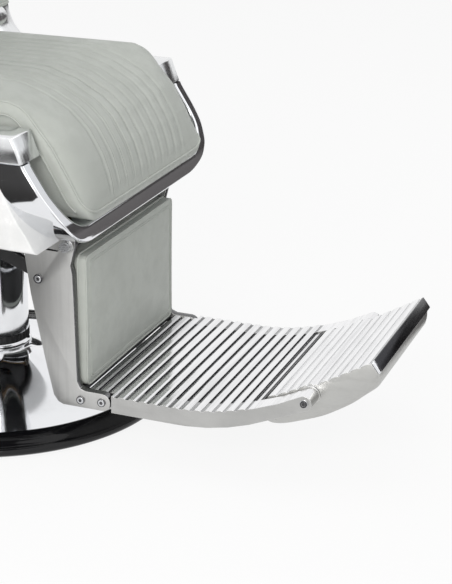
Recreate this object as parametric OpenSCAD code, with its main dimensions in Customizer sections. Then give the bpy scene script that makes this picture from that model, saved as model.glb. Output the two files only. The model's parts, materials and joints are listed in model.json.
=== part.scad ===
// Hydraulic barber chair: round base, lifting column, reclining seat, leg rest, ribbed footplate with a toe flap.
// Origin on the floor at the middle of the base. The sitter faces -Y, and +Z is up.

/* [Base] */
// Outer radius of the floor rim
base_r = 350; // [320:5:370]
// Radial width of the floor rim
rim_w = 46; // [40:1:52]
// Height of the floor rim
rim_h = 38; // [36:1:44]
// Thickness of the steel base disc
disc_t = 12; // [8:1:14]
// Height of the top of the chromed base cover
cover_top = 94; // [90:1:98]
// Wall of the chromed base cover
cover_wall = 2.5; // [1.5:0.5:4]

/* [Column] */
// Outer radius of the chromed column sleeve
sleeve_r = 65; // [62:1:68]
// Wall of the column sleeve
sleeve_wall = 3; // [2:0.5:4]
// Outer radius of the pump cylinder
cylinder_r = 56; // [52:1:58]
// Bore radius of the pump cylinder
cylinder_bore = 40; // [38:1:44]
// Radius of the lifting ram
ram_r = 30; // [26:1:34]
// Radius of the swivel spindle on top of the ram
spindle_r = 22; // [18:1:25]
// Height of the chromed ring at the foot of the column
ring_h = 15; // [12:1:18]
// Height of the ribbed rubber boot above that ring
boot_h = 14; // [12:1:18]
// Ribs round the rubber boot
boot_ribs = 40; // [24:2:48]

/* [Pump pedal] */
// Distance of the pedal's axle behind the column axis
pedal_axle_y = 76; // [74:1:80]
// Radius of the pedal's axle
pedal_axle_r = 6; // [5:0.5:7]
// Reach of the pedal behind the column axis
pedal_reach = 452; // [440:2:470]
// Width of the pedal arm
pedal_w = 26; // [20:1:30]
// Width of the rubber pedal pad
pedal_pad_w = 110; // [80:5:140]

/* [Seat] */
// Width over the arms and the chromed bumper
seat_w = 686; // [670:2:700]
// Width of the seat cushion
cushion_w = 530; // [510:2:532]
// Height of the flat face that carries the arms and the seat board
deck_z = 576; // [570:1:582]
// Height of the cushion's top above the deck
cushion_h = 86; // [70:1:95]
// Rear end of the seat cushion
seat_back_y = 188; // [170:1:190]
// Thickness of the seat board
board_t = 12; // [9:1:15]
// Height of the bottom edge of the bumper and the side shells
skirt_z = 418; // [416:1:420]
// Width of the bumper's face along the bottom
bumper_band = 37; // [34:1:40]
// Width of the bumper's uprights beside the cushion
bumper_leg = 30; // [24:1:36]
// Wall of the enamelled side shell
shell_wall = 4; // [3:0.5:6]

/* [Arms] */
// Width of the flat chromed arm bar
arm_w = 71; // [60:1:71]
// Thickness of the arm bar
arm_t = 46; // [38:1:50]
// Height of the arm bar's loop over the deck
arm_rise = 252; // [230:2:270]
// Height of the padded arm rest
arm_pad_h = 34; // [24:1:44]

/* [Leg rest] */
// Thickness of a cast side bracket
bracket_t = 16; // [12:1:16]
// Distance from the middle to a bracket's outer face
bracket_x = 217; // [215:1:218]
// Radius of the leg rest's pivot pins
leg_pin_r = 7; // [6:0.5:8]
// Length of the parallel levers that tie the leg rest to the back
lever_len = 95; // [88:1:98]
// Radius of the link's pins
link_pin_r = 6; // [5:0.5:7]
// Width of the calf pad
calf_w = 396; // [380:2:398]
// Thickness of the calf pad
calf_t = 44; // [34:1:50]

/* [Footplate] */
// Radius of the footplate's hinge pins
foot_pin_r = 6; // [5:0.5:7]
// Spacing of the ribs on the footplate
rib_pitch = 21; // [18:1:24]
// Height of the ribs
rib_h = 5; // [3:0.5:6]
// Width of each footplate arm beside the toe flap
foot_arm_w = 40; // [34:1:44]
// Gap between the footplate and the toe flap
flap_gap = 4; // [3:0.5:6]
// Clearance beside the toe flap
flap_side = 6; // [5:0.5:8]

/* [Back] */
// Width of the back cushion
back_w = 512; // [490:2:520]
// Height of the back cushion along its slope
back_h = 470; // [430:5:500]
// Thickness of the back cushion
back_t = 84; // [70:1:90]
// Lean of the back from upright at rest, degrees
back_lean = 12; // [8:1:14]
// Full recline of the back, degrees
recline_max = 45; // [30:1:50]

/* [Headrest] */
// Width of the headrest cushion
head_w = 270; // [240:5:300]
// Height of the headrest cushion
head_h = 130; // [110:5:150]
// Thickness of the headrest cushion
head_t = 74; // [60:1:84]
// Radius of the two chromed headrest posts
post_r = 7; // [6:0.5:8]
// Spacing of the headrest posts
post_gap = 116; // [100:2:120]
// Travel of the headrest
head_travel = 120; // [80:5:130]

/* [Fits] */
// Radial clearance of every running fit
run = 0.08; // [0.05:0.01:0.1]
// Gap between a soft piece and its neighbour
soft_gap = 0.3; // [0.3:0.1:0.5]

/* [Hidden] */

$fn = 64;
half = seat_w / 2;
rim_in = base_r - rim_w;
rim_lip = rim_h - 6;
cyl_z = disc_t;
ring_z = cover_top;
boot_z = ring_z + ring_h;
sleeve_z = boot_z + boot_h + 1;
cyl_top = 286;
gland_top = 305;
sleeve_top = 396;
hub_z = sleeve_top + 9;
hub_top = 490;
beam_h = 30;
tube = 30;
tube_z = deck_z - tube;
tube_y = 120;
plate_t = 8;
hinge_t = 6;
hinge_x = bracket_x + 3;
side_x = hinge_x + hinge_t;

leg_a = [-273, 402];
recline_b = [222, 582];
lever_ang = -50;
lever_v = [lever_len * cos(lever_ang), lever_len * sin(lever_ang)];
link_t = 10;
link_x = bracket_x - bracket_t - 4 - link_t;
foot_f = [-334, 107];
flap_h = [-719, 173];
toe_r = 17;
arm_end_r = 14;
eye_r = 13;
lip_z = skirt_z + bumper_band - 1;
pan_x = 168;
shell_rear = seat_back_y + 50;

// Recline lock: a sector on the back's right plate runs through a clamp on the seat's right plate
frame_x = bracket_x - bracket_t;
frame_t = 12;
sector_t = 4;
sector_x = frame_x + frame_t + 4.4;
sector_r = 84;
lock_a = 250;
lock_shaft_r = 5;
lock_p = recline_b + (sector_r + 8) * [cos(lock_a), sin(lock_a)];

// ---------- helpers ----------

// Profile drawn in (Y, Z), extruded along X from x0 to x1
module side_prism(x0, x1) {
  translate([x0, 0, 0]) rotate([90, 0, 90]) linear_extrude(x1 - x0) children();
}

// Profile drawn in (X, Z), extruded along Y from y0 to y1
module front_prism(y0, y1) {
  translate([0, y1, 0]) rotate([90, 0, 0]) linear_extrude(y1 - y0) children();
}

// Round bar along X at a point in (Y, Z)
module bar_x(p, r, x0, x1) {
  translate([x0, p[0], p[1]]) rotate([0, 90, 0]) cylinder(r = r, h = x1 - x0);
}

// The child and its mirror image on the other side of the chair
module both_sides() {
  children();
  mirror([1, 0, 0]) children();
}

// Straight web between two points, drawn in 2D
module web(p, q, w) {
  d = q - p;
  translate(p) rotate(atan2(d[1], d[0])) translate([0, -w / 2]) square([norm(d), w]);
}

// Points along an arc from angle a0 to a1
function arc(c, r, a0, a1, n = 8) =
  [for (i = [0:n]) c + r * [cos(a0 + (a1 - a0) * i / n), sin(a0 + (a1 - a0) * i / n)]];

// Rectangle from corner p to corner q with round corners
module round_rect(p, q, r) {
  polygon(concat(arc([q[0] - r, q[1] - r], r, 0, 90), arc([p[0] + r, q[1] - r], r, 90, 180),
    arc([p[0] + r, p[1] + r], r, 180, 270), arc([q[0] - r, p[1] + r], r, 270, 360)));
}

// Ring cut from a rectangle in (radius, height)
module ring(r0, r1, z0, z1) {
  rotate_extrude() translate([r0, z0]) square([r1 - r0, z1 - z0]);
}

// Everything that leans with the back: local +Z runs up the back, the pivot stays put
module leaning() {
  translate([0, recline_b[0], recline_b[1]]) rotate([-back_lean, 0, 0]) children();
}

// ---------- base ----------

module base_rim() {
  color([0.05, 0.05, 0.055])
  rotate_extrude($fn = 96) polygon(concat(
    [[rim_in, 0], [rim_in, rim_lip]],
    arc([rim_in + 9, rim_h - 6], 6, 180, 60, 4),
    [[base_r - 14, rim_h - 10], [base_r - 12, rim_h - 13], [base_r - 10, rim_h - 15]],
    arc([base_r - 9, 12], 9, 80, -80, 6),
    [[base_r - 12, 0]]));
}

module base_disc() {
  color([0.35, 0.36, 0.37])
  cylinder(r = rim_in, h = disc_t, $fn = 96);
}

// Radius and height of the cover's outer face, from the rim (a = 0) to the column (a = 90)
cover_rx = rim_in - 1 - (sleeve_r + 1);
cover_rz = cover_top - rim_lip + 4;
function cover_pt(a, wall = 0) =
  [rim_in - 1 - cover_rx * sin(a) - wall * sin(a), cover_top - cover_rz * cos(a) - wall * cos(a)];

module base_cover() {
  color([0.82, 0.83, 0.85])
  difference() {
    rotate_extrude($fn = 96) polygon(concat(
      [[rim_in - 1, cyl_z]], [for (i = [0:14]) cover_pt(90 * i / 14)],
      [for (i = [14:-1:1]) cover_pt(90 * i / 14, cover_wall)],
      [cover_pt(0, cover_wall) - [cover_wall, 0], [rim_in - 1 - cover_wall, cyl_z]]));
    translate([-pedal_w / 2 - 8, 40, pedal_z - 24]) cube([pedal_w + 16, 150, 90]);
  }
}

module column_ring() {
  color([0.85, 0.86, 0.88])
  rotate_extrude() polygon(concat(
    [[cylinder_r, ring_z], [sleeve_r - 1, ring_z]],
    arc([sleeve_r - 3, ring_z + ring_h / 2], ring_h / 2, -60, 60, 6),
    [[sleeve_r - 1, boot_z], [cylinder_r, boot_z]]));
}

module column_boot() {
  color([0.06, 0.06, 0.065]) {
    ring(cylinder_r, sleeve_r - 2, boot_z, boot_z + boot_h);
    for (i = [0:boot_ribs - 1])
      rotate(360 / boot_ribs * i)
        translate([sleeve_r - 3, -1.5, boot_z]) cube([4, 3, boot_h]);
  }
}

module pump_cylinder() {
  color([0.7, 0.71, 0.73])
  rotate_extrude() polygon([[0, cyl_z], [cylinder_r, cyl_z], [cylinder_r, cyl_top],
    [cylinder_bore, cyl_top], [cylinder_bore, cyl_z + 16], [0, cyl_z + 16]]);
}

module cylinder_gland() {
  color([0.55, 0.56, 0.58])
  rotate_extrude() polygon([[ram_r + run, cyl_top - 24], [cylinder_bore, cyl_top - 24],
    [cylinder_bore, cyl_top], [cylinder_r, cyl_top], [cylinder_r, gland_top - 4],
    [cylinder_r - 4, gland_top], [ram_r + run, gland_top]]);
}

// ---------- pump ----------

pedal_z = 66;
pump_w = 70;
plunger_y = pedal_axle_y + 38;
plunger_r = 8;
plunger_top = pedal_z - 7;

module pump_block() {
  color([0.3, 0.31, 0.33])
  difference() {
    union() {
      translate([-pump_w / 2, cylinder_r - 8, cyl_z]) cube([pump_w, plunger_y + 22 - cylinder_r + 8, 20]);
      translate([-14, plunger_y - 14, cyl_z]) cube([28, 28, 30]);
      for (s = [-1, 1])
        side_prism(s * (pedal_w / 2 + 3.5) - 3, s * (pedal_w / 2 + 3.5) + 3) {
          translate([pedal_axle_y, pedal_z]) circle(10);
          translate([pedal_axle_y - 10, cyl_z]) square([20, pedal_z - cyl_z]);
        }
    }
    translate([0, 0, cyl_z - 1]) cylinder(r = cylinder_r, h = 60);
    bar_x([pedal_axle_y, pedal_z], pedal_axle_r, -40, 40);
    translate([0, plunger_y, cyl_z + 6]) cylinder(r = plunger_r + run, h = 60);
  }
}

module pedal_axle() {
  color([0.75, 0.76, 0.78])
  bar_x([pedal_axle_y, pedal_z], pedal_axle_r, -pedal_w / 2 - 7, pedal_w / 2 + 7);
}

module pump_pedal() {
  color([0.78, 0.79, 0.81])
  difference() {
    union() {
      bar_x([pedal_axle_y, pedal_z], 11, -pedal_w / 2, pedal_w / 2);
      side_prism(-pedal_w / 2, pedal_w / 2) polygon([[pedal_axle_y, pedal_z + 7],
        [150, pedal_z + 13], [base_r - 20, pedal_z + 17], [pedal_reach - 78, pedal_z + 13],
        [pedal_reach - 78, pedal_z + 2], [base_r, pedal_z + 4], [base_r - 30, pedal_z + 3],
        [160, pedal_z], [plunger_y + 10, plunger_top], [pedal_axle_y, plunger_top]]);
      translate([-pedal_pad_w / 2 + 8, pedal_reach - 80, pedal_z + 2]) cube([pedal_pad_w - 16, 70, 6]);
    }
    bar_x([pedal_axle_y, pedal_z], pedal_axle_r + run, -40, 40);
  }
}

module pedal_pad() {
  color([0.08, 0.08, 0.085]) {
    translate([0, 0, pedal_z + 8]) linear_extrude(5)
      round_rect([-pedal_pad_w / 2, pedal_reach - 76], [pedal_pad_w / 2, pedal_reach], 14);
    for (i = [0:5])
      translate([-pedal_pad_w / 2 + 10, pedal_reach - 68 + 11 * i, pedal_z + 12])
        cube([pedal_pad_w - 20, 5, 4]);
  }
}

module pump_plunger() {
  color([0.75, 0.76, 0.78])
  translate([0, plunger_y, cyl_z + 12]) {
    cylinder(r = plunger_r, h = plunger_top - 4 - cyl_z - 12);
    cylinder(r = 3, h = plunger_top - 0.3 - cyl_z - 12);
  }
}

// ---------- lift ----------

module lift_ram() {
  color([0.8, 0.81, 0.83]) {
    translate([0, 0, 60]) cylinder(r = ram_r, h = sleeve_top - 8 - 60);
    translate([0, 0, 60]) cylinder(r = cylinder_bore - run, h = 22);
    translate([0, 0, sleeve_top - 9]) cylinder(r = spindle_r, h = hub_top + 16 - sleeve_top + 9);
  }
}

module column_sleeve() {
  color([0.86, 0.87, 0.89])
  rotate_extrude($fn = 96) polygon([[sleeve_r - sleeve_wall, sleeve_z], [sleeve_r, sleeve_z],
    [sleeve_r, sleeve_top - 3], [sleeve_r - 3, sleeve_top], [spindle_r, sleeve_top],
    [spindle_r, sleeve_top - 8], [sleeve_r - sleeve_wall, sleeve_top - 8]]);
}

module thrust_ring() {
  color([0.7, 0.71, 0.72])
  ring(spindle_r, sleeve_r - 14, sleeve_top, hub_z - 0.3);
}

module spindle_nut() {
  color([0.5, 0.51, 0.52])
  translate([0, 0, hub_top + 0.3]) difference() {
    cylinder(r = spindle_r + 12, h = 14, $fn = 6);
    translate([0, 0, -1]) cylinder(r = spindle_r, h = 16);
  }
}

module swivel_hub() {
  color([0.09, 0.09, 0.1])
  rotate_extrude() polygon(concat(
    [[spindle_r + run, hub_z], [sleeve_r - 8, hub_z], [sleeve_r - 3, hub_z + 5]],
    arc([sleeve_r + 47, hub_top - 12], 50, 240, 180, 6),
    [[sleeve_r + 30, hub_top - 12], [sleeve_r + 30, hub_top], [spindle_r + run, hub_top]]));
}

// ---------- seat structure ----------

module swivel_beams() {
  color([0.12, 0.12, 0.13])
  for (s = [-1, 1])
    translate([-side_x, s * 62 - 22, hub_top]) difference() {
      cube([2 * side_x, 44, beam_h]);
      translate([-1, 4, 4]) cube([2 * side_x + 2, 36, beam_h - 8]);
    }
}

// Pressed steel plate down each side of the seat, with a pivot eye at the back
module side_plate(lock_bore) {
  color([0.12, 0.12, 0.13])
  side_prism(side_x, side_x + plate_t) difference() {
    union() {
      polygon([[-244, skirt_z + 12], [170, skirt_z + 12], [208, 470], [recline_b[0] + 18, 540],
        [recline_b[0] + 20, recline_b[1]], [recline_b[0] - 20, recline_b[1]], [seat_back_y + 6, deck_z],
        [-tube_y - 66, deck_z], [-244, deck_z - 90]]);
      translate(recline_b) circle(20);
    }
    translate(recline_b) circle(leg_pin_r);
    for (y = [-tube_y, tube_y])
      translate([y - tube / 2, tube_z]) square([tube, tube + 1]);
    if (lock_bore) translate(lock_p) circle(lock_shaft_r + run);
  }
}
module side_plate_left() { side_plate(false); }
module side_plate_right() { mirror([1, 0, 0]) side_plate(true); }

module cross_tube(y) {
  color([0.12, 0.12, 0.13])
  translate([-half + arm_w - 40, y - tube / 2, tube_z]) difference() {
    cube([2 * (half - arm_w + 40), tube, tube]);
    translate([-1, 2.5, 2.5]) cube([2 * half, tube - 5, tube - 5]);
  }
}
module cross_tubes() {
  cross_tube(-tube_y);
  cross_tube(tube_y);
}

module seat_pan() {
  color([0.07, 0.07, 0.075])
  difference() {
    union() {
      translate([-pan_x, -206, hub_z + 3]) cube([2 * pan_x, 400, hub_top - hub_z - 3]);
      translate([-pan_x, 190, hub_top - 1]) cube([2 * pan_x, 4, deck_z - hub_top]);
    }
    translate([-pan_x + 4, -202, hub_z + 6]) cube([2 * pan_x - 8, 392, 200]);
    translate([0, 0, hub_z]) cylinder(r = sleeve_r + 32, h = 90);
  }
}

// Front slope of the seat: top of the slope, its foot, and the board's line behind it
slope_top = [-196, deck_z + board_t];
slope_foot = [-290, lip_z + 2];
slope_v = (slope_foot - slope_top) / norm(slope_foot - slope_top);
slope_n = [slope_v[1], -slope_v[0]];

module seat_board() {
  color([0.55, 0.42, 0.28])
  intersection() {
    side_prism(-cushion_w / 2 + 6, cushion_w / 2 - 6) polygon([[seat_back_y - 6, deck_z],
      [seat_back_y - 6, slope_top[1]], slope_top, slope_foot, slope_foot - board_t * slope_n,
      [slope_top[0] + board_t * 0.6, deck_z]]);
    front_prism(-400, 300) front_outline(cushion_w / 2 - 6, lip_z + 4, 44);
  }
}

// Front view of the seat's lower outline: a wide U with round corners
module front_outline(w, z0, r) {
  polygon(concat([[w, deck_z + 200]], arc([w - r, z0 + r], r, 0, -90, 10),
    arc([-w + r, z0 + r], r, 270, 180, 10), [[-w, deck_z + 200]]));
}

// Side view of the bumper: its front face from the deck down, then its rear edge
face_line = [[-253, deck_z], [-303, 500], [-321, 465], [-327, 441], [-323, skirt_z - 1]];
leg_rear = [[-190, deck_z], [-205, 543], [-222, 508], [-240, 475], [-264, 452], [-290, skirt_z - 1]];

module seat_bumper() {
  color([0.85, 0.86, 0.88])
  intersection() {
    difference() {
      front_prism(-400, 0) front_outline(half, skirt_z, 125);
      front_prism(-401, 1) front_outline(half - bumper_leg, lip_z, 80);
      difference() {
        front_prism(-401, 1) front_outline(half - 4, skirt_z + 4, 121);
        front_prism(-402, 2) front_outline(half - bumper_leg + 4, lip_z - 4, 84);
        side_prism(-half, half)
          polygon(concat([for (p = face_line) p + [5, 0]], [[-420, 400], [-420, deck_z]]));
      }
    }
    side_prism(-half, half) polygon(concat(face_line, [for (i = [5:-1:0]) leg_rear[i] - [0.4, 0]]));
  }
}

// Enamelled cover on one side of the seat, with a rolled bottom edge and a rear return
module side_shell(lock_hole) {
  color([0.93, 0.93, 0.91])
  difference() {
    intersection() {
      difference() {
        front_prism(-300, shell_rear) round_rect([100, skirt_z + 4], [half, deck_z + 40], 8);
        front_prism(-301, shell_rear - shell_wall)
          round_rect([60, skirt_z + 4 + shell_wall], [half - shell_wall, deck_z + 60], 4.5);
        translate([0, -301, skirt_z]) cube([half - 32, 300 + shell_rear - shell_wall, 20]);
      }
      side_prism(side_x + plate_t + 1, half + 1) polygon(concat([for (i = [0:4]) leg_rear[i]],
        [[-260, 442], [-228, 429], [-196, skirt_z + 4], [shell_rear, skirt_z + 4],
          [shell_rear, deck_z - 50], [shell_rear - 12, deck_z - 0.2],
        [leg_rear[0][0], deck_z - 0.2]]));
    }
    if (lock_hole) bar_x(lock_p, lock_shaft_r + 1.5, half - 40, half + 1);
  }
}
module seat_shell_left() { side_shell(false); }
module seat_shell_right() { mirror([1, 0, 0]) side_shell(true); }

module seat_cushion() {
  g = soft_gap;
  color([0.68, 0.69, 0.66])
  intersection() {
    side_prism(-cushion_w / 2, cushion_w / 2) polygon(concat(
      [[seat_back_y, deck_z + board_t + g]],
      arc([seat_back_y - 24, deck_z + cushion_h - 24], 24, 0, 90, 5),
      arc([-176, deck_z + cushion_h - 62], 62, 90, 142, 8),
      [[-264, 584], [-290, 540], [-312, 506], [-330, 486], [-337, 474], [-335, lip_z + 1],
       slope_foot + g * slope_n + [0, 9], slope_top + g * slope_n + [-1, 0]]));
    front_prism(-400, 300) front_outline(cushion_w / 2, lip_z + 1, 48);
  }
}

// ---------- arms ----------

arm_z1 = deck_z + arm_rise;
arm_front = -238;
arm_rear = 176;

// Flat bar bent to a C: lower rail, round rear bend and upper rail
module arm() {
  bend = [arm_rear - arm_rise / 2, deck_z + arm_rise / 2];
  tip = (arm_t - 12) / 2;
  color([0.85, 0.86, 0.88])
  side_prism(half - arm_w, half) polygon(concat([[arm_front - 14, deck_z]],
    arc(bend, arm_rise / 2, -90, 90, 30), arc([-180, arm_z1 - tip], tip, 90, 270, 10),
    arc(bend + [0, 6], arm_rise / 2 - arm_t + 6, 90, -90, 24), [[arm_front + 4, deck_z + arm_t]]));
}
module arm_left() { arm(); }
module arm_right() { mirror([1, 0, 0]) arm(); }

module arm_pad() {
  color([0.68, 0.69, 0.66])
  translate([half - arm_w - 3, 0, 0]) rotate([90, 0, 90]) linear_extrude(arm_w + 6)
    round_rect([-205, arm_z1 + soft_gap], [90, arm_z1 + arm_pad_h], 15);
}
module arm_pad_left() { arm_pad(); }
module arm_pad_right() { mirror([1, 0, 0]) arm_pad(); }

module seat_bolts() {
  color([0.75, 0.76, 0.78])
  both_sides() {
    for (y = [-tube_y, tube_y])
      translate([half - arm_w + 22, y, tube_z - 6]) cylinder(r = 8, h = 6);
    for (p = [[-240, 400], [-218, 414]])
      bar_x(p, 4.5, hinge_x + hinge_t, hinge_x + hinge_t + 2);
  }
}

// ---------- pivots under the seat ----------

module hinge_plates() {
  color([0.72, 0.73, 0.74])
  both_sides()
    side_prism(hinge_x, hinge_x + hinge_t) difference() {
      union() {
        translate(leg_a) circle(eye_r);
        polygon([leg_a + [-6, 11], leg_a + [30, 70], leg_a + [84, 80], leg_a + [84, 28],
          leg_a + [48, -7], leg_a + [10, -11]]);
      }
      translate(leg_a) circle(leg_pin_r);
    }
}

module leg_pins() {
  color([0.75, 0.76, 0.78])
  both_sides() {
    bar_x(leg_a, leg_pin_r, bracket_x - bracket_t, hinge_x + hinge_t);
    bar_x(leg_a, leg_pin_r + 3, hinge_x + hinge_t, hinge_x + hinge_t + 9);
  }
}

module recline_pins() {
  color([0.75, 0.76, 0.78])
  both_sides() {
    bar_x(recline_b, leg_pin_r, bracket_x - bracket_t, side_x + plate_t);
    bar_x(recline_b, leg_pin_r + 3, side_x + plate_t, side_x + plate_t + 5);
  }
}

// Split block round the back's brake sector; the lever's shaft closes its two jaws
module lock_clamp() {
  color([0.3, 0.31, 0.33]) mirror([1, 0, 0])
  difference() {
    translate([0, recline_b[0], recline_b[1]]) rotate([lock_a - 90, 0, 0])
      translate([frame_x + frame_t + 0.8, -13, sector_r - 22])
        cube([side_x - frame_x - frame_t - 0.8, 26, 39]);
    side_prism(sector_x - 0.4, sector_x + sector_t + 0.4)
      translate(recline_b) circle(sector_r + 1);
    bar_x(lock_p, lock_shaft_r + run, 0, half);
  }
}

// ---------- recline lever ----------

lever_tilt = 38;
module recline_lever() {
  color([0.85, 0.86, 0.88]) mirror([1, 0, 0]) {
    bar_x(lock_p, lock_shaft_r, frame_x + frame_t + 1, half + 2);
    bar_x(lock_p, 14, half + 2, half + 14);
    translate([half + 8, lock_p[0], lock_p[1]]) rotate([-lever_tilt, 0, 0]) cylinder(r = 6, h = 170);
  }
}
module lever_knob() {
  color([0.05, 0.05, 0.055]) mirror([1, 0, 0])
  translate([half + 8, lock_p[0], lock_p[1]]) rotate([-lever_tilt, 0, 0]) translate([0, 0, 165])
    rotate_extrude() polygon(concat([[6, 0], [9, 0]], arc([0, 30], 17, -30, 90, 8), [[0, 5], [6, 5]]));
}

// ---------- leg rest ----------

module leg_bracket() {
  color([0.78, 0.78, 0.77])
  side_prism(bracket_x - bracket_t, bracket_x) difference() {
    union() {
      polygon(concat(arc(leg_a, eye_r, 0, 180, 16), [[-276, 362], [-279, 348], [-281, 298],
        [-285, 141], [-291, 128], [-302, foot_f[1] + toe_r]], arc(foot_f, toe_r, 90, 270, 12),
        [[-256, foot_f[1] - toe_r], [-246, 94], [-237, 106], [-224, 161], [-209, 232], [-195, 299],
        [-184, 370], [-250, 370], [-258, 376]]));
    }
    translate(leg_a) circle(leg_pin_r + run);
    translate(leg_a + lever_v) circle(link_pin_r);
    for (p = foot_screw_p) translate(p) circle(foot_pin_r);
  }
}
module leg_bracket_left() { leg_bracket(); }
module leg_bracket_right() { mirror([1, 0, 0]) leg_bracket(); }

bar_p = [-232, 236];
module leg_crossbar() {
  color([0.6, 0.61, 0.62])
  bar_x(bar_p, 9, -bracket_x + bracket_t, bracket_x - bracket_t);
}

module leg_link_pins() {
  color([0.75, 0.76, 0.78])
  both_sides() {
    bar_x(leg_a + lever_v, link_pin_r, link_x - 3, bracket_x);
    bar_x(leg_a + lever_v, link_pin_r + 3, bracket_x, bracket_x + 2.4);
  }
}

calf_front = -296;
calf_z0 = 134;
calf_z1 = 376;
module calf_board() {
  color([0.1, 0.1, 0.1]) difference() {
    union() {
    front_prism(calf_front + calf_t + soft_gap, calf_front + calf_t + 8)
      round_rect([-calf_w / 2 + 6, calf_z0 + 6], [calf_w / 2 - 6, calf_z1 - 6], 18);
    for (s = [-1, 1])
      translate([s * 110 - 15, calf_front + calf_t + 7, bar_p[1] - 16])
        cube([30, bar_p[0] - calf_front - calf_t - 7, 32]);
    }
    bar_x(bar_p, 9, -calf_w, calf_w);
  }
}
module calf_pad() {
  color([0.68, 0.69, 0.66])
  front_prism(calf_front, calf_front + calf_t)
    round_rect([-calf_w / 2, calf_z0], [calf_w / 2, calf_z1], 22);
}

// ---------- footplate ----------

foot_screw_p = [[-292, 105], foot_f];
module foot_screws() {
  color([0.75, 0.76, 0.78])
  both_sides() for (p = foot_screw_p) {
    bar_x(p, foot_pin_r, bracket_x - bracket_t - 16, bracket_x);
    bar_x(p, foot_pin_r + 2, bracket_x, bracket_x + 2.4);
  }
}

// Side view of the plate: level at the rear, an arc, then a straight rise to the flap hinge
plate_z = 123;
rise_y = -480;
rise_r = 413;
rise_a = 21;
rise_end = [rise_y - rise_r * sin(rise_a), plate_z + rise_r * (1 - cos(rise_a))];
function top_z(y) = y > rise_y ? plate_z
  : y > rise_end[0] ? plate_z + rise_r - sqrt(pow(rise_r, 2) - pow(y - rise_y, 2))
  : rise_end[1] + (rise_end[0] - y) * tan(rise_a);
plate_rear = -353;
tread_rear = -298;
plate_front = flap_h[0] + 90;
rib_n = floor((tread_rear - plate_front - 4) / rib_pitch);
function rib_y(i) = tread_rear - 3 - rib_pitch * i;

module plate_profile() {
  polygon(concat(
    [[tread_rear, plate_z - rib_h]],
    [for (i = [0:rib_n - 1], p = [[0, -rib_h], [1.5, -1], [4, 0],
        [rib_pitch - 9, 0], [rib_pitch - 5, -1.2], [rib_pitch - 3.5, -rib_h]])
      [rib_y(i) - p[0], top_z(rib_y(i) - p[0]) + p[1]]],
    [[plate_front, top_z(plate_front) - rib_h], [plate_front, top_z(plate_front) - 16]],
    [for (k = [7:-1:1]) let (y = rise_y + (plate_front - rise_y) * k / 8) [y, top_z(y) - 16]],
    [[tread_rear, plate_z - 16]]));
}

module foot_arm_profile() {
  bottom_r = 400;
  bottom_z = 90;
  top_y = [-353, rise_y, -520, -560, -600, rise_end[0], -670];
  low_y = [-655, -620, -580, -540, -500, rise_y];
  difference() {
    union() {
      polygon(concat([for (y = top_y) [y, top_z(y) - 2.5]],
        [flap_h + arm_end_r * [sin(rise_a), cos(rise_a)], flap_h - arm_end_r * [sin(25), cos(25)]],
        [for (y = low_y) [y, bottom_z + bottom_r - sqrt(pow(bottom_r, 2) - pow(y - rise_y, 2))]],
        [[-353, bottom_z]]));
      translate(flap_h) circle(arm_end_r);
    }
    translate(foot_f) circle(toe_r + 1.5);
    translate([foot_f[0], 0]) square([100, 300]);
    translate(flap_h) circle(foot_pin_r);
  }
}

module footplate() {
  in_x = bracket_x - foot_arm_w;
  lug_x = bracket_x - bracket_t;
  color([0.86, 0.86, 0.86])
  difference() {
    union() {
      difference() {
        side_prism(-bracket_x, bracket_x) plate_profile();
        both_sides() side_prism(lug_x - 0.3, bracket_x + 1) {
          translate([plate_rear, 0]) square([100, 300]);
          translate(foot_f) circle(toe_r + 1.5);
        }
      }
      both_sides() {
        side_prism(in_x, bracket_x) foot_arm_profile();
        side_prism(lug_x - 20, lug_x - 0.3)
          translate([plate_rear - 8, plate_z - 34]) square([tread_rear - plate_rear + 20, 26]);
      }
    }
    both_sides() for (p = foot_screw_p) bar_x(p, foot_pin_r, lug_x - 16, bracket_x);
  }
}

module flap_pins() {
  color([0.8, 0.81, 0.83])
  both_sides() {
    bar_x(flap_h, foot_pin_r, bracket_x - foot_arm_w - 22, bracket_x);
    bar_x(flap_h, foot_pin_r + 1.5, bracket_x, bracket_x + 2);
  }
}

// ---------- toe flap ----------

flap_x = bracket_x - foot_arm_w - flap_side;
flap_rear = plate_front - flap_gap;
tip_top = [-822, 249];
tip_low = [-836, 231];
tip_n = 5;
step_v = (tip_top - [-712, 180]) / tip_n;

module flap_top_profile() {
  polygon(concat(
    [[flap_rear, top_z(flap_rear) - 14], [flap_rear, top_z(flap_rear) - 3]],
    [for (i = [1:3], p = [[0, -3], [4, 0]]) let (y = flap_rear - 21 * i - p[0]) [y, top_z(y) + p[1]]],
    [for (i = [0:tip_n - 1], p = [[0.08, -4], [0.3, 0.5], [0.95, 1]])
      [-712, 180] + step_v * (i + p[0]) + [0, p[1]]],
    [tip_top, tip_low, [-787, 194], [-761, 174], [-738, 154], flap_h + [0, -16]]));
}

// Pan-like underside from the tip back to the tail, a little deeper in the middle
belly = [tip_low, [-838, 214], [-832, 199], [-812, 181], [-788, 160], [-760, 141], [-732, 125],
  [-692, 109], [-666, 100], [-646, 97], [flap_rear, 100]];
belly_steps = [[152, 0], [160, 5], [166, 13]];
module flap_belly() {
  for (k = belly_steps)
    side_prism(-k[0], k[0]) polygon(concat([for (p = belly) p + [k[1] * 0.7, k[1] * 0.7]],
      [[flap_rear, top_z(flap_rear) - 6], [-738, 164], [-787, 196]]));
}

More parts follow.
